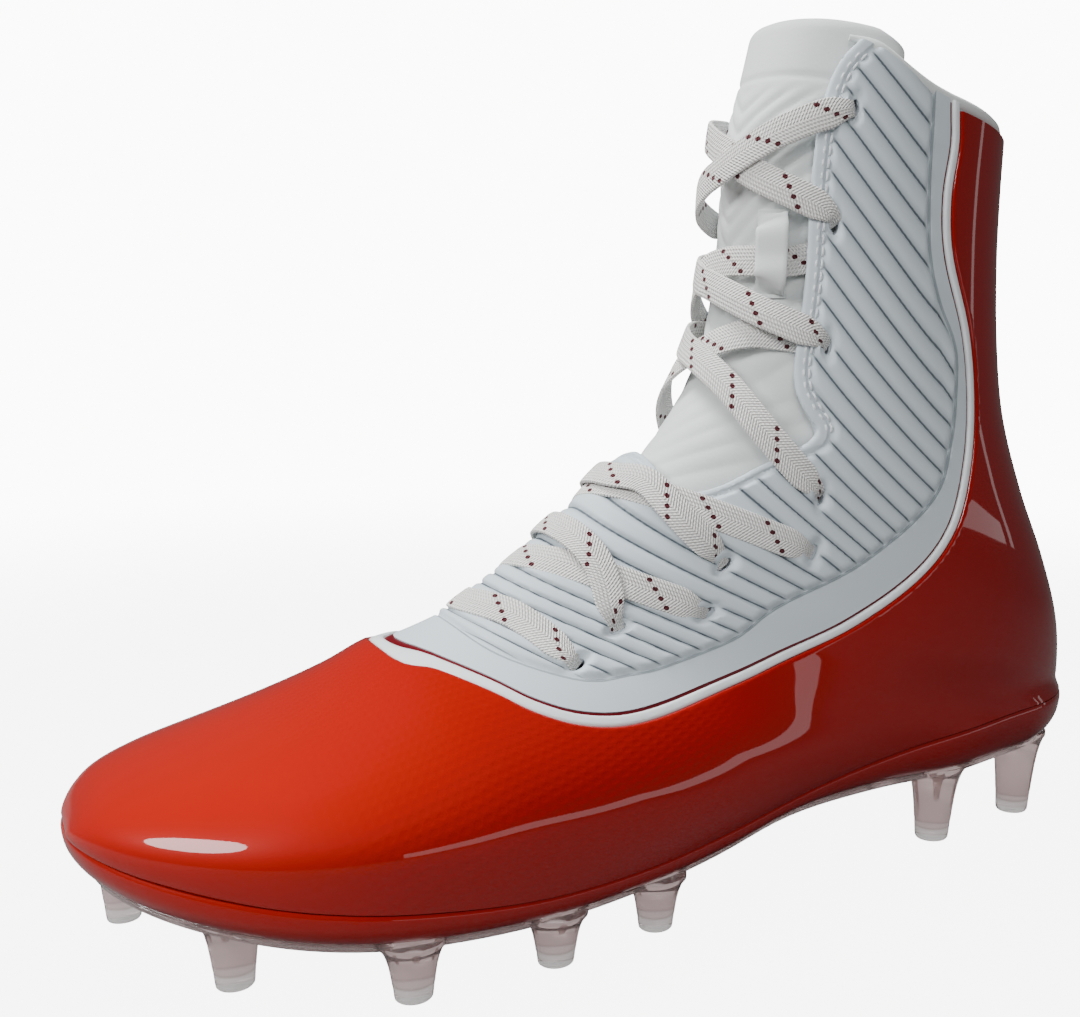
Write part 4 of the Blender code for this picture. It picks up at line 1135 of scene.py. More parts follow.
def surface_map(row, across):
    """Rough lengths in mm down the foot and round it."""
    rows, places = np.linspace(0, LAST_ROW, 53), np.linspace(-1, 1, 81)
    points = form(rows[:, None], places[None, :])
    girth = np.cumsum(np.linalg.norm(np.diff(points, axis=1), axis=2) / MM, axis=1)
    girth = np.concatenate([np.zeros((len(rows), 1)), girth], axis=1)
    girth -= girth[:, [40]]
    i, j = np.clip(row / LAST_ROW * 52, 0, 51.999), np.clip((across + 1) * 40, 0, 79.999)
    a, b = i.astype(int), j.astype(int)
    s, t = i - a, j - b
    near = girth[a, b] * (1 - t) + girth[a, b + 1] * t
    far = girth[a + 1, b] * (1 - t) + girth[a + 1, b + 1] * t
    return np.stack([np.interp(row, ROWS_AT, ROWS_MM), near * (1 - s) + far * s], axis=1)


# Sheets cut out in rows and across, then laid on the form


def grid_sheet(rows, places):
    """A flat sheet whose x is the row and whose y is across."""
    sheet = bmesh.new()
    points = [[sheet.verts.new((row, place, 0.0)) for place in places] for row in rows]
    for i in range(len(rows) - 1):
        for j in range(len(places) - 1):
            sheet.faces.new((points[i][j], points[i][j + 1], points[i + 1][j + 1], points[i + 1][j]))
    return sheet


def where(sheet):
    table = np.array([vert.co[:] for vert in sheet.verts])
    return table[:, 0], table[:, 1]


def cut(sheet, field, level=0.0, keep=None):
    """Cuts the sheet along the line where the field has this level, and keeps both sides, or one of them."""
    row, across = where(sheet)
    for vert, value in zip(sheet.verts, field(row, across) - level):
        vert.co.z = value
    bmesh.ops.bisect_plane(
        sheet, geom=sheet.verts[:] + sheet.edges[:] + sheet.faces[:], dist=1e-9, plane_co=(0, 0, 0),
        plane_no=(0, 0, 1), clear_inner=keep == "above", clear_outer=keep == "below",
    )
    for vert in sheet.verts:
        vert.co.z = 0.0


def lay(name, sheet, outer, inner, look, closed=True, values=None):
    """Turns the sheet into a skin over the form, with a wall round its edge and, if closed, an underside."""
    row, across = where(sheet)
    sheet.verts.index_update()
    count = len(row)
    faces = [[vert.index for vert in face.verts] for face in sheet.faces]
    if closed:
        faces += [[count + vert.index for vert in reversed(face.verts)] for face in sheet.faces]
    for edge in sheet.edges:
        a, b = edge.verts
        on_heel = all(abs(v.co.y) > 1 - 1e-6 and v.co.x < HEEL_ROW + 1e-4 for v in (a, b))
        if len(edge.link_faces) == 1 and not on_heel:
            if edge.link_loops[0].vert is b:
                a, b = b, a
            faces.append([b.index, a.index, count + a.index, count + b.index])
    top = layer(row, across, outer(row, across))
    under = layer(row, across, inner(row, across))
    mesh = bpy.data.meshes.new(name)
    mesh.from_pydata(np.concatenate([top, under]).tolist(), [], faces)
    set_map(mesh, np.tile(surface_map(row, across), (2, 1)))
    for title, value in (values or {}).items():
        made = mesh.attributes.new(title, "FLOAT", "POINT")
        made.data.foreach_set("value", np.tile(value(row, across), 2))
    sheet.free()
    shape = bmesh.new()
    shape.from_mesh(mesh)
    bmesh.ops.remove_doubles(shape, verts=shape.verts, dist=2e-6)
    bmesh.ops.delete(shape, geom=[v for v in shape.verts if not v.link_faces], context="VERTS")
    if closed:
        bmesh.ops.recalc_face_normals(shape, faces=shape.faces)
    shape.to_mesh(mesh)
    shape.free()
    return add_piece(name, mesh, look)


# Lines on the shoe, as distances from them


def line_distance(points, line):
    """Distance of each flat point from the line, positive on its left."""
    best = np.full(len(points), np.inf)
    signed = np.zeros(len(points))
    for a, d in zip(line[:-1], np.diff(line, axis=0)):
        r = points - a
        off = r - np.clip((r @ d) / (d @ d), 0, 1)[:, None] * d
        away = np.hypot(off[:, 0], off[:, 1])
        closer = away < best - 1e-12
        best = np.where(closer, away, best)
        signed = np.where(closer, np.sign(d[0] * r[:, 1] - d[1] * r[:, 0]) * away, signed)
    return signed


def side_view(row, across):
    points = form(row, across)
    return np.stack([LENGTH / 2 - points[:, 1], points[:, 2] - STUD_HEIGHT], axis=1)


RED_LINE = curve_through([(LENGTH * a, COLLAR_HEIGHT * b) for a, b in OVERLAY_EDGE], 120)
RIB_LINE = curve_through([(LENGTH * a, COLLAR_HEIGHT * b) for a, b in RIB_EDGE], 100)
THROAT_LINE = curve_through([(BALL_WIDTH * half, COLLAR_HEIGHT * height) for height, half in THROAT_EDGE], 90)


def from_red(row, across):
    """Distance beyond the red overlay's edge: negative on the red."""
    return -line_distance(side_view(row, across), RED_LINE)


def into_ribs(row, across):
    """Distance inside the ribbed field: negative on the plain band."""
    return -line_distance(side_view(row, across), RIB_LINE)


def throat_ahead(row, across):
    """Distance from the throat's edge, seen from the front: negative in the opening."""
    points = form(row, across)
    flat = np.stack([np.abs(points[:, 0] - HEEL_AXIS), points[:, 2] - STUD_HEIGHT], axis=1)
    return np.where(np.abs(across) > 0.5, 50 * MM, -line_distance(flat, THROAT_LINE))


def throat_tree():
    """A search tree of close points along the throat's edge on the form."""
    rows, places = np.linspace(0.0, 10.5, 420), np.linspace(-0.5, 0.5, 401)
    row, across = np.meshgrid(rows, places, indexing="ij")
    ahead = throat_ahead(row.ravel(), across.ravel()).reshape(row.shape)
    found = []
    for axis in (0, 1):
        first = [slice(None), slice(None)]
        second = [slice(None), slice(None)]
        first[axis], second[axis] = slice(None, -1), slice(1, None)
        a, b = ahead[tuple(first)], ahead[tuple(second)]
        i, j = np.nonzero((a < 0) != (b < 0))
        share = a[i, j] / (a[i, j] - b[i, j])
        if axis == 0:
            found.append(form(rows[i] + share * (rows[i + 1] - rows[i]), places[j]))
        else:
            found.append(form(rows[i], places[j] + share * (places[j + 1] - places[j])))
    tree = kdtree.KDTree(sum(len(points) for points in found))
    for number, point in enumerate(np.concatenate(found)):
        tree.insert(point, number)
    tree.balance()
    return tree


THROAT_TREE = throat_tree()


def from_throat(row, across):
    """Distance over the form from the throat's edge: negative in the opening."""
    ahead = throat_ahead(row, across)
    near = (row < 12.5) & (np.abs(across) < 0.5)
    away = np.full(len(ahead), 50 * MM)
    away[near] = [THROAT_TREE.find(point)[2] for point in form(row[near], across[near]).tolist()]
    away = np.sqrt(np.maximum(away**2 - (0.08 * MM) ** 2, ahead**2))
    return np.where(ahead < 0, -away, away)


def from_eyelets(row, across):
    """How far outside the nearest lace hole, as a share of the hole's size: negative in it."""
    points = form(row, across)
    best = np.full(len(points), 9.0)
    for hole_row, hole_across in EYELETS:
        for side in (1, -1):
            centre = form(hole_row, side * hole_across)
            along = form(hole_row + 0.1, side * hole_across) - centre
            along /= np.linalg.norm(along)
            up = outward(hole_row, side * hole_across)
            over = np.cross(up, along)
            r = points - centre
            near = (2 * (r @ over) / EYELET_WIDTH) ** 2 + (2 * (r @ along) / EYELET_LENGTH) ** 2
            best = np.minimum(best, np.sqrt(near + (r @ up / EYELET_LENGTH) ** 2) - 1)
    return best


def from_collar(row, across):
    """Distance in rows below the collar's line."""
    return row - collar_line(across)


def smoothstep(value, low, high):
    t = np.clip((value - low) / (high - low), 0, 1)
    return t * t * (3 - 2 * t)


def rib_table(row, column):
    return np.interp(row, [entry[0] for entry in RIBS], [entry[column] for entry in RIBS])


def rib_count():
    """Rows where grooves start, and the grooves above them, by their pitch where the ribs are longest."""
    rows = np.arange(-4.0, LAST_ROW + 0.05, 0.1)
    at = np.clip(rows, 0.1, LAST_ROW - 0.1)
    lower = np.clip(at + rib_table(at, 1) * (RIB_MIDDLE - RIB_START), 0.1, LAST_ROW - 0.1)
    down = (form(lower + 0.05, RIB_MIDDLE) - form(lower - 0.05, RIB_MIDDLE)) / 0.1
    round_foot = (form(lower, RIB_MIDDLE + 0.01) - form(lower, RIB_MIDDLE - 0.01)) / 0.02
    groove = down * rib_table(at, 1)[:, None] + round_foot
    apart = np.linalg.norm(np.cross(down, groove), axis=1) / np.linalg.norm(groove, axis=1)
    return rows, np.cumsum(apart / (rib_table(at, 2) * MM)) * 0.1


RIB_ROWS, RIB_COUNT = rib_count()


def rib_start(row, across):
    """The row where the groove through this place starts."""
    away = np.sqrt(across**2 + RIDGE_ROUND**2) - RIB_START
    start = row
    for _ in range(6):
        start = row - rib_table(start, 1) * away
    return start


def rib_phase(row, across):
    return np.interp(rib_start(row, across), RIB_ROWS, RIB_COUNT)


def rib_mask(row, across):
    """Where the ribs stand: they run out at the plain band, the throat and the lace holes."""
    flap = smoothstep(-row, -7.2, -6.4)
    mask = smoothstep(into_ribs(row, across), 0.0, 1.4 * MM)
    low, high = (a + (b - a) * flap for a, b in zip(VAMP_RISE, FLAP_RISE))
    mask *= smoothstep(from_throat(row, across), low * MM, high * MM)
    return mask * smoothstep(from_eyelets(row, across), 0.3, 1.1)


def band_mm(row, across):
    return np.clip(into_ribs(row, across) / MM, -20, 20)


def skin_height(row, across):
    """Height of the white skin over the form: ribs, plain band, binding and the rims of the lace holes."""
    phase = rib_phase(row, across)
    middle = np.abs(2 * (phase - np.floor(phase)) - 1)
    tops = 1 - middle ** rib_table(rib_start(row, across), 3)
    ribs = rib_mask(row, across) * tops * sizes().rib_height
    band = BAND_HEIGHT * (1 - smoothstep(into_ribs(row, across), -0.6 * MM, 0.0))
    away = from_throat(row, across)
    flap = smoothstep(-row, -7.0, -6.6)
    width = BINDING_WIDTH * (0.5 + 0.5 * flap)
    binding = BINDING_HEIGHT * (1 - smoothstep(away, width - 0.5 * MM, width))
    roll = ROLL_DEPTH * (1 - np.sqrt(np.clip(1 - (1 - np.clip(away / ROLL_WIDTH, 0, 1)) ** 2, 0, 1)))
    hole = RIM_DEPTH * (1 - smoothstep(from_eyelets(row, across), 0.0, 0.35))
    return SKIN_LIFT + np.maximum(ribs, np.maximum(band, binding)) - roll - hole


def build_skin():
    """The ribbed white skin from the collar to the vamp."""
    fine = 285
    sheet = grid_sheet(np.linspace(0.2, 17.4, fine), np.linspace(-0.61, 0.61, fine))
    cut(sheet, from_collar, 0.0, "above")
    cut(sheet, from_red, TRIM_WIDTH + PIPING_WIDTH, "above")
    cut(sheet, from_throat, 0.0, "above")
    cut(sheet, from_eyelets, 0.0, "above")
    for level in (0.15 * MM, 0.5 * MM, ROLL_WIDTH, BINDING_WIDTH - 0.5 * MM, BINDING_WIDTH):
        cut(sheet, from_throat, level)
    cut(sheet, into_ribs, 0.0)
    cut(sheet, into_ribs, -0.6 * MM)
    cut(sheet, from_eyelets, 0.3)
    lay(
        "ribbed_skin", sheet, skin_height, lambda row, across: np.full_like(row, SKIN_UNDERSIDE), "skin",
        closed=False,
        values={"rib": rib_phase, "rib_mask": rib_mask, "band_mm": band_mm},
    )


def build_strip(name, low, high, height, look):
    """A strip beside the red overlay, between two distances from it."""
    fine = 170
    sheet = grid_sheet(np.linspace(0.5, 17.8, fine), np.linspace(-0.68, 0.68, fine))
    cut(sheet, from_collar, 0.02, "above")
    cut(sheet, from_red, low, "above")
    cut(sheet, from_red, high, "below")
    edge = min(0.7 * MM, (high - low) / 2)
    for share in (0.15, 0.5, 1.0):
        cut(sheet, from_red, low + share * edge)
        cut(sheet, from_red, high - share * edge)

    def outer(row, across):
        away = from_red(row, across)
        inside = np.clip(np.minimum(away - low, high - away) / edge, 0, 1)
        return height * (0.45 + 0.55 * np.sqrt(np.clip(1 - (1 - inside) ** 2, 0, 1)))

    lay(name, sheet, outer, lambda row, across: np.full_like(row, -0.5 * MM), look)


def build_edges():
    """The moulded white edge and the dark red piping beside the overlay."""
    build_strip("moulded_edge", 0.0, TRIM_WIDTH, sizes().trim_height, "edge")
    build_strip("dark_piping", TRIM_WIDTH, TRIM_WIDTH + PIPING_WIDTH, 0.4 * MM, "piping")


def shell_rows(first, fine):
    """Rows of a whole shell, one of them where the back of the heel meets the seam."""
    rows = np.concatenate([np.linspace(first, 24.5, fine), np.linspace(24.6, LAST_ROW, 16)])
    rows[np.argmin(np.abs(rows - HEEL_ROW))] = HEEL_ROW
    return rows


def build_overlay():
    """The glossy red overlay with its rounded upper edge."""
    sheet = grid_sheet(shell_rows(OVERLAY_TOP_ROW, 240), np.linspace(-1, 1, 241))
    cut(sheet, from_red, 0.0, "below")
    for share in (0.06, 0.2, 0.5, 1.0, 2.2):
        cut(sheet, from_red, -share * OVERLAY_ROUND)

    def outer(row, across):
        inside = np.clip(-from_red(row, across) / OVERLAY_ROUND, 0, 1)
        return OVERLAY_GAP + OVERLAY_THICKNESS * (0.35 + 0.65 * np.sqrt(1 - (1 - inside) ** 2))

    made = lay(
        "red_overlay", sheet, outer, lambda row, across: np.full_like(row, OVERLAY_GAP * 0.5), "red",
        closed=False,
    )
    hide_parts("overlay")


def build_lining():
    """The knitted lining, the upper's inner wall from the collar to the seam."""
    sheet = grid_sheet(shell_rows(0.2, 125), np.linspace(-1, 1, 129))
    cut(sheet, from_collar, 0.0, "above")
    cut(sheet, from_throat, 0.5 * MM, "above")
    cut(sheet, from_eyelets, 0.15, "above")

    def outer(row, across):
        under_white = 1 - smoothstep(-from_red(row, across), 0.0, 1.0 * MM)
        return np.where(np.abs(across) > 0.62, 0.0, -1.0 * MM * under_white)

    made = lay(
        "knitted_lining", sheet, outer, lambda row, across: np.full_like(row, -WALL), "lining",
    )
    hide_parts("upper")


def build_collar_roll():
    """The knitted roll along the collar, from one point round the heel to the other."""
    half = np.linspace(PEAK_ACROSS - 0.004, 1.0, 90)
    across = np.concatenate([half, -half[-2::-1]])
    row = collar_line(across)
    centre = layer(row, across, -0.5 * WALL)
    up = form(row - 0.1, across) - form(row + 0.1, across)
    up /= np.linalg.norm(up, axis=1, keepdims=True)
    out = outward(row, across)
    turns = np.arange(12) * math.pi / 6
    run = lengths_along(centre)
    taper = 0.4 + 0.6 * smoothstep(np.minimum(run, run[-1] - run), 0.0, 9 * MM)
    rings = round_rings(centre, 0.72 * WALL * taper, out, up, turns)
    mesh = tidy_mesh("collar_roll", rings.reshape(-1, 3), tube_parts(rings))
    add_piece("collar_roll", mesh, "tongue")


def build_stitches():
    """The double line of stitches along each flap's binding."""
    points, faces = [], []
    turns = np.arange(6) * math.pi / 3
    for side in (1, -1):
        for inset in (BINDING_WIDTH - 0.9 * MM, BINDING_WIDTH + 0.5 * MM):
            rows = np.linspace(*FLAP_ROWS, 240)
            places = np.linspace(0.12, 0.48, 160)
            away = from_throat(np.repeat(rows, 160), side * np.tile(places, 240)).reshape(240, 160)
            rising = np.maximum.accumulate(away, axis=1)
            across = np.array([np.interp(inset, line, places) for line in rising])
            path = layer(rows, side * across, STITCH_LIFT)
            run = lengths_along(path)
            for start in np.arange(0, run[-1] - STITCH_PITCH, STITCH_PITCH):
                at = np.linspace(start, start + sizes().stitch_length, 5)
                line_rows = np.interp(at, run, rows)
                line_across = side * np.interp(at, run, across)
                dip = np.array([-0.45, 0.0, 0.12, 0.0, -0.45]) * MM
                centre = layer(line_rows, line_across, STITCH_LIFT + dip)
                out = outward(line_rows, line_across)
                along = np.gradient(centre, axis=0)
                sideways = np.cross(out, along)
                sideways /= np.linalg.norm(sideways, axis=1, keepdims=True)
                rings = round_rings(centre, STITCH_RADIUS, sideways, out, turns)
                faces += tube_parts(rings, len(points) * 30)
                points.append(rings.reshape(-1, 3))
    mesh = tidy_mesh("flap_stitches", np.concatenate(points), faces)
    add_piece("flap_stitches", mesh, "thread")


def build_tongue():
    """The padded tongue: quilted in slanting ribs, rounded at its top corners, with a plain band on top."""
    keys = [entry[0] for entry in TONGUE]
    rows = np.linspace(keys[0], keys[-1], 220)
    places = np.linspace(-1, 1, 111)
    half = smooth(TONGUE, rows, 1)
    wide = len(places)
    row = np.repeat(rows[:, None], wide, axis=1)
    across = half[:, None] * places[None, :]
    down = np.interp(row, ROWS_AT, ROWS_MM)
    down -= down[0, 0]
    edge = np.minimum((1 - np.abs(places))[None, :] * half[:, None] * TONGUE_GIRTH, down)
    crown = np.sqrt(np.clip(1 - (1 - np.clip(edge / TONGUE_ROUND, 0, 1)) ** 2, 0, 1))
    sweep = 1.2 + 3.6 * smoothstep(-row, -7.0, -5.0)
    phase = np.interp(row + sweep * np.abs(across), ROWS_AT, ROWS_MM) / QUILT_PITCH
    quilt = np.abs(np.sin(math.pi * phase)) ** 0.8
    mask = smoothstep(edge, 5.0, 9.0) * smoothstep(down, 16.0, 22.0)
    upright = np.abs(np.sin(math.pi * (across * TONGUE_GIRTH + 0.9 * down) / PANEL_PITCH)) ** 0.8
    panel = smoothstep(row, 5.6, 6.4)
    relief = mask * ((1 - panel) * (1 - quilt) * 0.75 + panel * (1 - upright) * 0.35) * MM
    seam = 0.45 * MM * np.exp(-(((down - TONGUE_SEAM) / 0.8) ** 2)) * smoothstep(edge, 2.0, 4.0)
    under = WALL + TONGUE_GAP
    outer = -under - 0.5 * TONGUE_THICKNESS * (1 - crown) - relief - seam
    inner = -under - TONGUE_THICKNESS + 0.45 * TONGUE_THICKNESS * (1 - crown)
    points = np.concatenate([layer(row, across, offset).reshape(-1, 3) for offset in (outer, inner)])
    count, total = len(rows), len(rows) * wide
    faces = []
    for i in range(count - 1):
        for j in range(wide - 1):
            a = i * wide + j
            faces.append((a, a + 1, a + wide + 1, a + wide))
            faces.append((total + a, total + a + wide, total + a + wide + 1, total + a + 1))
    for a in list(range(wide - 1)) + list(range((count - 1) * wide, count * wide - 1)):
        faces.append((a, a + 1, total + a + 1, total + a))
    for i in range(count - 1):
        for a in (i * wide, i * wide + wide - 1):
            faces.append((a, a + wide, total + a + wide, total + a))
    made = add_piece("padded_tongue", tidy_mesh("padded_tongue", points, faces), "tongue")
    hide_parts("tongue")


def ribbon(name, places, width, thickness, look, start_mm=0.0, pinched=True):
    """A flat band with round edges over the form, through places by row, across and lift in mm."""
    steps = 90
    path = curve_through(places, steps)
    row, across, lift = path[:, 0], path[:, 1], path[:, 2] * MM
    centre = layer(row, across, lift)
    along = np.gradient(centre, axis=0)
    run = lengths_along(centre) / MM
    along /= np.linalg.norm(along, axis=1, keepdims=True)
    sideways = np.cross(outward(row, across), along)
    sideways /= np.linalg.norm(sideways, axis=1, keepdims=True)
    up = np.cross(along, sideways)
    narrow = np.ones(steps)
    if pinched:
        from_end = np.minimum(run, run[-1] - run)
        tight = (np.abs(np.where(run < run[-1] / 2, lift[0], lift[-1])) < 1.6 * MM) * 0.45
        narrow -= tight * (1 - smoothstep(from_end, 1.5, 9.0))
    section = np.array(BAND_SECTION)
    rings = (
        centre[:, None]
        + (narrow * width / 2)[:, None, None] * section[None, :, :1] * sideways[:, None]
        + thickness * section[None, :, 1:] * up[:, None]
    )
    mesh = tidy_mesh(name, rings.reshape(-1, 3), tube_parts(rings))
    uv = np.stack(
        [np.repeat(run + start_mm, len(section)), np.tile(section[:, 0] * width / 2 / MM, steps)], axis=1
    )
    set_map(mesh, uv)
    return add_piece(name, mesh, look)


def build_laces():
    """The lace: a bar at the toe end and five crossings up to the collar."""
    for number, (name, places) in enumerate(STRANDS):
        made = ribbon(name, places, sizes().lace_width, LACE_THICKNESS, "lace", start_mm=7.3 * number)
        if name in STANDS_FOR:
            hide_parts(STANDS_FOR[name])


def build_keeper():
    """The webbing loop on the tongue that the lace passes under."""
    low = -(WALL + TONGUE_GAP) / MM
    first, *middle, last = KEEPER_ROWS
    places = [(first - 0.1, KEEPER_ACROSS, low), (first, KEEPER_ACROSS, low + 0.6)]
    places += [(row, KEEPER_ACROSS + 0.01, 1.9) for row in middle]
    places += [(last, KEEPER_ACROSS, low + 0.6), (last + 0.1, KEEPER_ACROSS, low)]
    made = ribbon("webbing_loop", places, KEEPER_WIDTH, KEEPER_THICKNESS, "tongue", pinched=False)
    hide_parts("lace_keeper")


# Sole, plate and studs


def outline_ring(inset, steps):
    """Stations and offsets round the sole's outline, moved inwards."""
    station = LENGTH * (1 - np.cos(math.pi * np.arange(steps + 1) / steps)) / 2
    outer = np.stack([station, outline_centre(station) + outline_half(station)], axis=1)
    inner = np.stack([station, outline_centre(station) - outline_half(station)], axis=1)
    points = np.concatenate([outer, inner[-2:0:-1]])
    along = np.roll(points, -1, axis=0) - np.roll(points, 1, axis=0)
    normal = np.stack([along[:, 1], -along[:, 0]], axis=1)
    return points + inset * normal / np.linalg.norm(normal, axis=1, keepdims=True)


def slab(name, side, height, look, steps=90):
    """A closed slab of the sole's outline.

    side: an inset and a share for each step down its edge. height: a function of station and share.
    """
    rings = []
    for inset, share in side:
        points = outline_ring(inset, steps)
        rings.append(np.stack(metres(points[:, 0], height(points[:, 0], share), points[:, 1]), axis=1))
    count = 2 * steps
    faces = []
    for level in range(len(rings) - 1):
        for i in range(count):
            a, b = level * count + i, level * count + (i + 1) % count
            faces.append((a, b, b + count, a + count))
    for level in (0, len(rings) - 1):
        for i in range(steps):
            face = (i, i + 1, count - i - 1, (count - i) % count)
            faces.append(tuple(dict.fromkeys(level * count + k for k in face)))
    return add_piece(name, tidy_mesh(name, np.concatenate(rings), faces), look)


def rounded_side(table, reach, steps):
    """A side profile as a curve: its insets times reach, with the shares of the drop."""
    return [(inset * reach, drop) for drop, inset in curve_through(table, steps)]


def build_sole():
    """The red moulded sole."""
    made = slab(
        "red_sole", rounded_side(SIDE_PROFILE, MIDSOLE_UNDERCUT, 14),
        lambda station, share: seam_height(station) - share * side_depth(station), "red",
    )
    grid = outline_ring(0.0, 90) / MM
    set_map(made.data, np.resize(grid, (len(made.data.vertices), 2)))
    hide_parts("midsole")


def build_insole():
    """The loose insole."""
    inset = OVERLAY_THICKNESS + OVERLAY_GAP + WALL + INSOLE_MARGIN
    made = slab(
        "loose_insole", [(inset, 0.0), (inset, 0.6), (inset + 0.5 * MM, 0.85), (inset + INSOLE_BEVEL, 1.0)],
        lambda station, share: seam_height(station) + CLEARANCE + share * INSOLE_THICKNESS, "lining",
    )
    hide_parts("insole")


def stud_rings(station, across, size):
    """Rings of points of a stud, from its tip up into the plate, with a broad foot."""
    top = float(plate_bottom(np.array(station))) + 0.5 * PLATE_THICKNESS
    tall = top - 0.4 * PLATE_THICKNESS + STUD_HEIGHT
    turns = (np.arange(32) + 0.5) * math.pi / 16
    rings = []
    for rise, swell in STUD_SIDE + ((1.0 + 0.5 * PLATE_THICKNESS / tall, 1.5),):
        long = size * (STUD_TIP_LENGTH + swell * (STUD_TOP_LENGTH - STUD_TIP_LENGTH))
        wide = size * (STUD_TIP_WIDTH + swell * (STUD_TOP_WIDTH - STUD_TIP_WIDTH))
        height = np.full_like(turns, rise * tall - STUD_HEIGHT)
        places = metres(station + long * np.cos(turns), height, across + wide * np.sin(turns))
        rings.append(np.stack(places, axis=1))
    return np.array(rings)


def build_plate():
    """The clear plate and its studs, one moulding."""
    start = MIDSOLE_UNDERCUT + PLATE_INSET
    plate = slab(
        "clear_plate", [(start + inset * PLATE_THICKNESS, drop) for drop, inset in PLATE_PROFILE],
        lambda station, share: sole_bottom(station) - PLATE_GAP - share * PLATE_THICKNESS, "smoke",
    )
    studs = []
    for name, station_share, side, inset, size in STUDS:
        station = LENGTH * station_share
        edge = float(outline_centre(station) + side * outline_half(station))
        rings = stud_rings(station, edge - side * inset * BALL_WIDTH, size)
        stud = bpy.data.objects.new(name, tidy_mesh(name, rings.reshape(-1, 3), tube_parts(rings)))
        bpy.context.scene.collection.objects.link(stud)
        union = plate.modifiers.new(name, "BOOLEAN")
        union.object = stud
        union.operation = "UNION"
        union.solver = "EXACT"
        studs.append(stud)
    bpy.context.view_layer.update()
    joined = bpy.data.meshes.new_from_object(plate.evaluated_get(bpy.context.evaluated_depsgraph_get()))
    plate.modifiers.clear()
    plate.data = joined
    joined.shade_smooth()
    joined.set_sharp_from_angle(angle=math.radians(45))
    for stud in studs:
        bpy.data.objects.remove(stud)
    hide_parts("outsole")


# Stage


def add_softbox(name, place, target, size, power, shape, mirrored):
    """A softbox aimed at the target. One that isn't mirrored leaves no patch in the gloss."""
    lamp = bpy.data.lights.new(name, "AREA")
    lamp.shape = shape
    lamp.size, lamp.size_y = size
    lamp.energy = power
    made = bpy.data.objects.new(name, lamp)
    bpy.context.scene.collection.objects.link(made)
    made.location = place
    made.visible_glossy = mirrored
    made.rotation_euler = (Vector(target) - Vector(place)).to_track_quat("-Z", "Y").to_euler()


def build_world():
    """A white studio that lights the shoe less than it shows to the camera."""
    world = bpy.data.worlds.new("studio_world")
    bpy.context.scene.world = world
    world.use_nodes = True
    tree = world.node_tree
    white = tree.nodes["Background"]
    white.inputs["Color"].default_value = (1.0, 1.0, 1.0, 1.0)
    tree.links.new(shown(tree, *ROOM_STRENGTHS), white.inputs["Strength"])


def build_stage():
    """The floor, the lights and the camera."""
    floor_mesh = bpy.data.meshes.new("studio_floor")
    shape = bmesh.new()
    bmesh.ops.create_grid(shape, x_segments=1, y_segments=1, size=5.0)
    shape.to_mesh(floor_mesh)
    shape.free()
    floor = bpy.data.objects.new("studio_floor", floor_mesh)
    bpy.context.scene.collection.objects.link(floor)
    floor_mesh.materials.append(finish("floor"))
    build_world()
    for softbox in SOFTBOXES:
        add_softbox(*softbox)
    data = bpy.data.cameras.new("photo_camera")
    camera = bpy.data.objects.new("photo_camera", data)
    bpy.context.scene.collection.objects.link(camera)
    bpy.context.scene.camera = camera
    data.sensor_width = 36.0
    data.lens = CAMERA_LENS
    data.shift_x, data.shift_y = CAMERA_SHIFT
    data.clip_start = 0.01
    camera.location = CAMERA_PLACE
    look = (Vector(CAMERA_TARGET) - Vector(CAMERA_PLACE)).to_track_quat("-Z", "Y").to_matrix()
    camera.rotation_euler = (look @ Matrix.Rotation(math.radians(CAMERA_ROLL), 3, "Z")).to_euler()


# Operators and panel


class CLEAT_OT_stage(bpy.types.Operator):
    """Set the floor, the lights and the camera"""

    bl_idname = "cleat.stage"
    bl_label = "Stage"

    def execute(self, context):
        build_stage()
        return {"FINISHED"}


class CLEAT_OT_upper(bpy.types.Operator):
    """Make the upper's ribbed skin, its edges, its lining and its stitches"""

    bl_idname = "cleat.upper"
    bl_label = "Upper"

    def execute(self, context):
        build_skin()
        build_edges()
        build_lining()
        build_collar_roll()
        build_stitches()
        return {"FINISHED"}


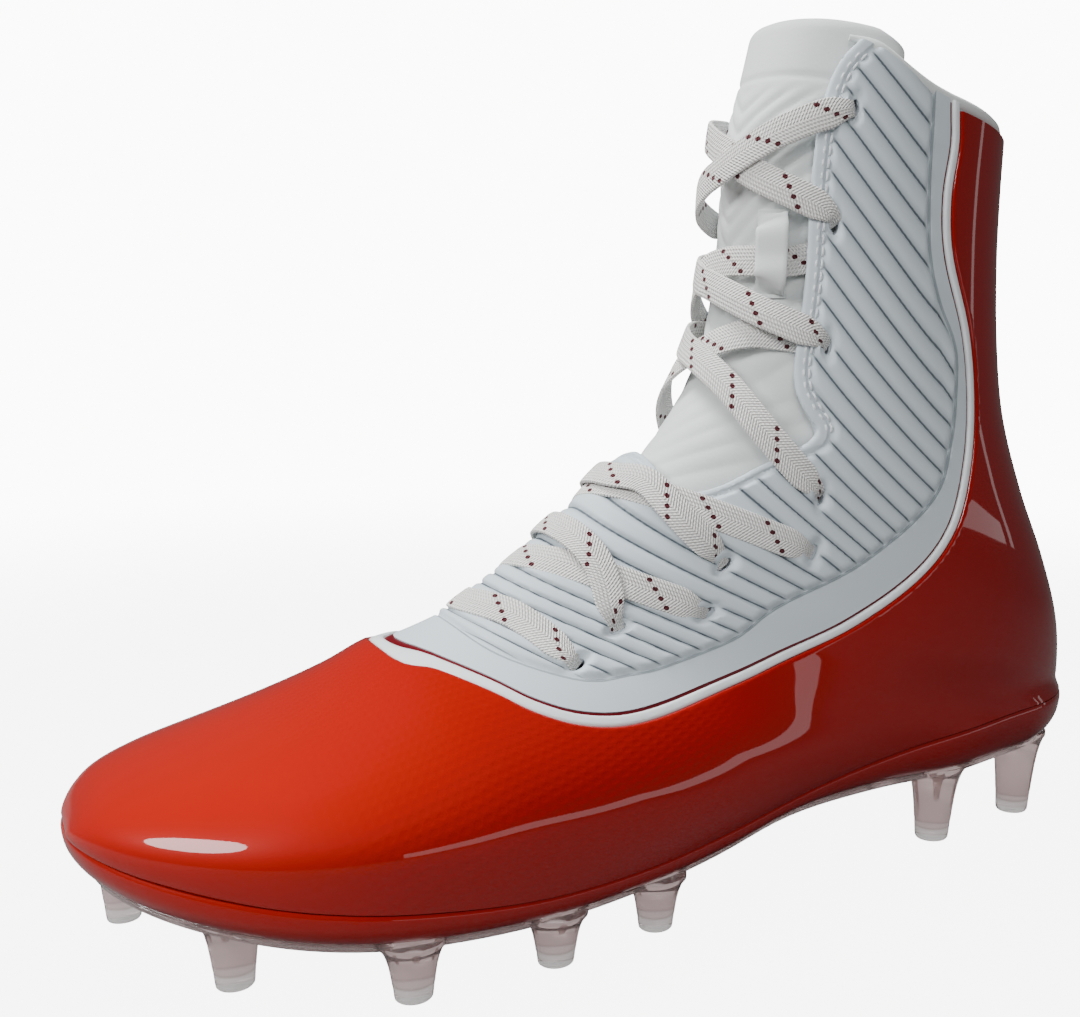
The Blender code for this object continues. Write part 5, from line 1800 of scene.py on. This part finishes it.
class CLEAT_OT_overlay(bpy.types.Operator):
    """Make the glossy red overlay"""

    bl_idname = "cleat.overlay"
    bl_label = "Overlay"

    def execute(self, context):
        build_overlay()
        return {"FINISHED"}


class CLEAT_OT_tongue(bpy.types.Operator):
    """Make the padded tongue"""

    bl_idname = "cleat.tongue"
    bl_label = "Tongue"

    def execute(self, context):
        build_tongue()
        return {"FINISHED"}


class CLEAT_OT_laces(bpy.types.Operator):
    """Make the lace and the loop that keeps it"""

    bl_idname = "cleat.laces"
    bl_label = "Laces"

    def execute(self, context):
        build_laces()
        build_keeper()
        return {"FINISHED"}


class CLEAT_OT_sole(bpy.types.Operator):
    """Make the sole, the clear plate with its studs, and the insole"""

    bl_idname = "cleat.sole"
    bl_label = "Sole"

    def execute(self, context):
        build_sole()
        build_plate()
        build_insole()
        return {"FINISHED"}


STEPS = (CLEAT_OT_stage, CLEAT_OT_upper, CLEAT_OT_overlay, CLEAT_OT_tongue, CLEAT_OT_laces, CLEAT_OT_sole)


class CLEAT_PT_panel(bpy.types.Panel):
    """The shoe's colours, sizes and steps"""

    bl_label = "Football cleat"
    bl_idname = "CLEAT_PT_panel"
    bl_space_type = "VIEW_3D"
    bl_region_type = "UI"
    bl_category = "Cleat"

    def draw(self, context):
        for group in (context.scene.cleat_colours, context.scene.cleat_sizes):
            for name in group.__annotations__:
                self.layout.prop(group, name)
        for step in STEPS:
            self.layout.operator(step.bl_idname)


CLASSES = (CleatColours, CleatSizes, *STEPS, CLEAT_PT_panel)


def register():
    for each in CLASSES:
        bpy.utils.register_class(each)
    bpy.types.Scene.cleat_colours = bpy.props.PointerProperty(type=CleatColours)
    bpy.types.Scene.cleat_sizes = bpy.props.PointerProperty(type=CleatSizes)


def unregister():
    del bpy.types.Scene.cleat_sizes
    del bpy.types.Scene.cleat_colours
    for each in reversed(CLASSES):
        bpy.utils.unregister_class(each)


def main():
    register()
    bpy.ops.cleat.stage()
    bpy.ops.cleat.upper()
    bpy.ops.cleat.overlay()
    bpy.ops.cleat.tongue()
    bpy.ops.cleat.laces()
    bpy.ops.cleat.sole()


if __name__ == "__main__":
    main()
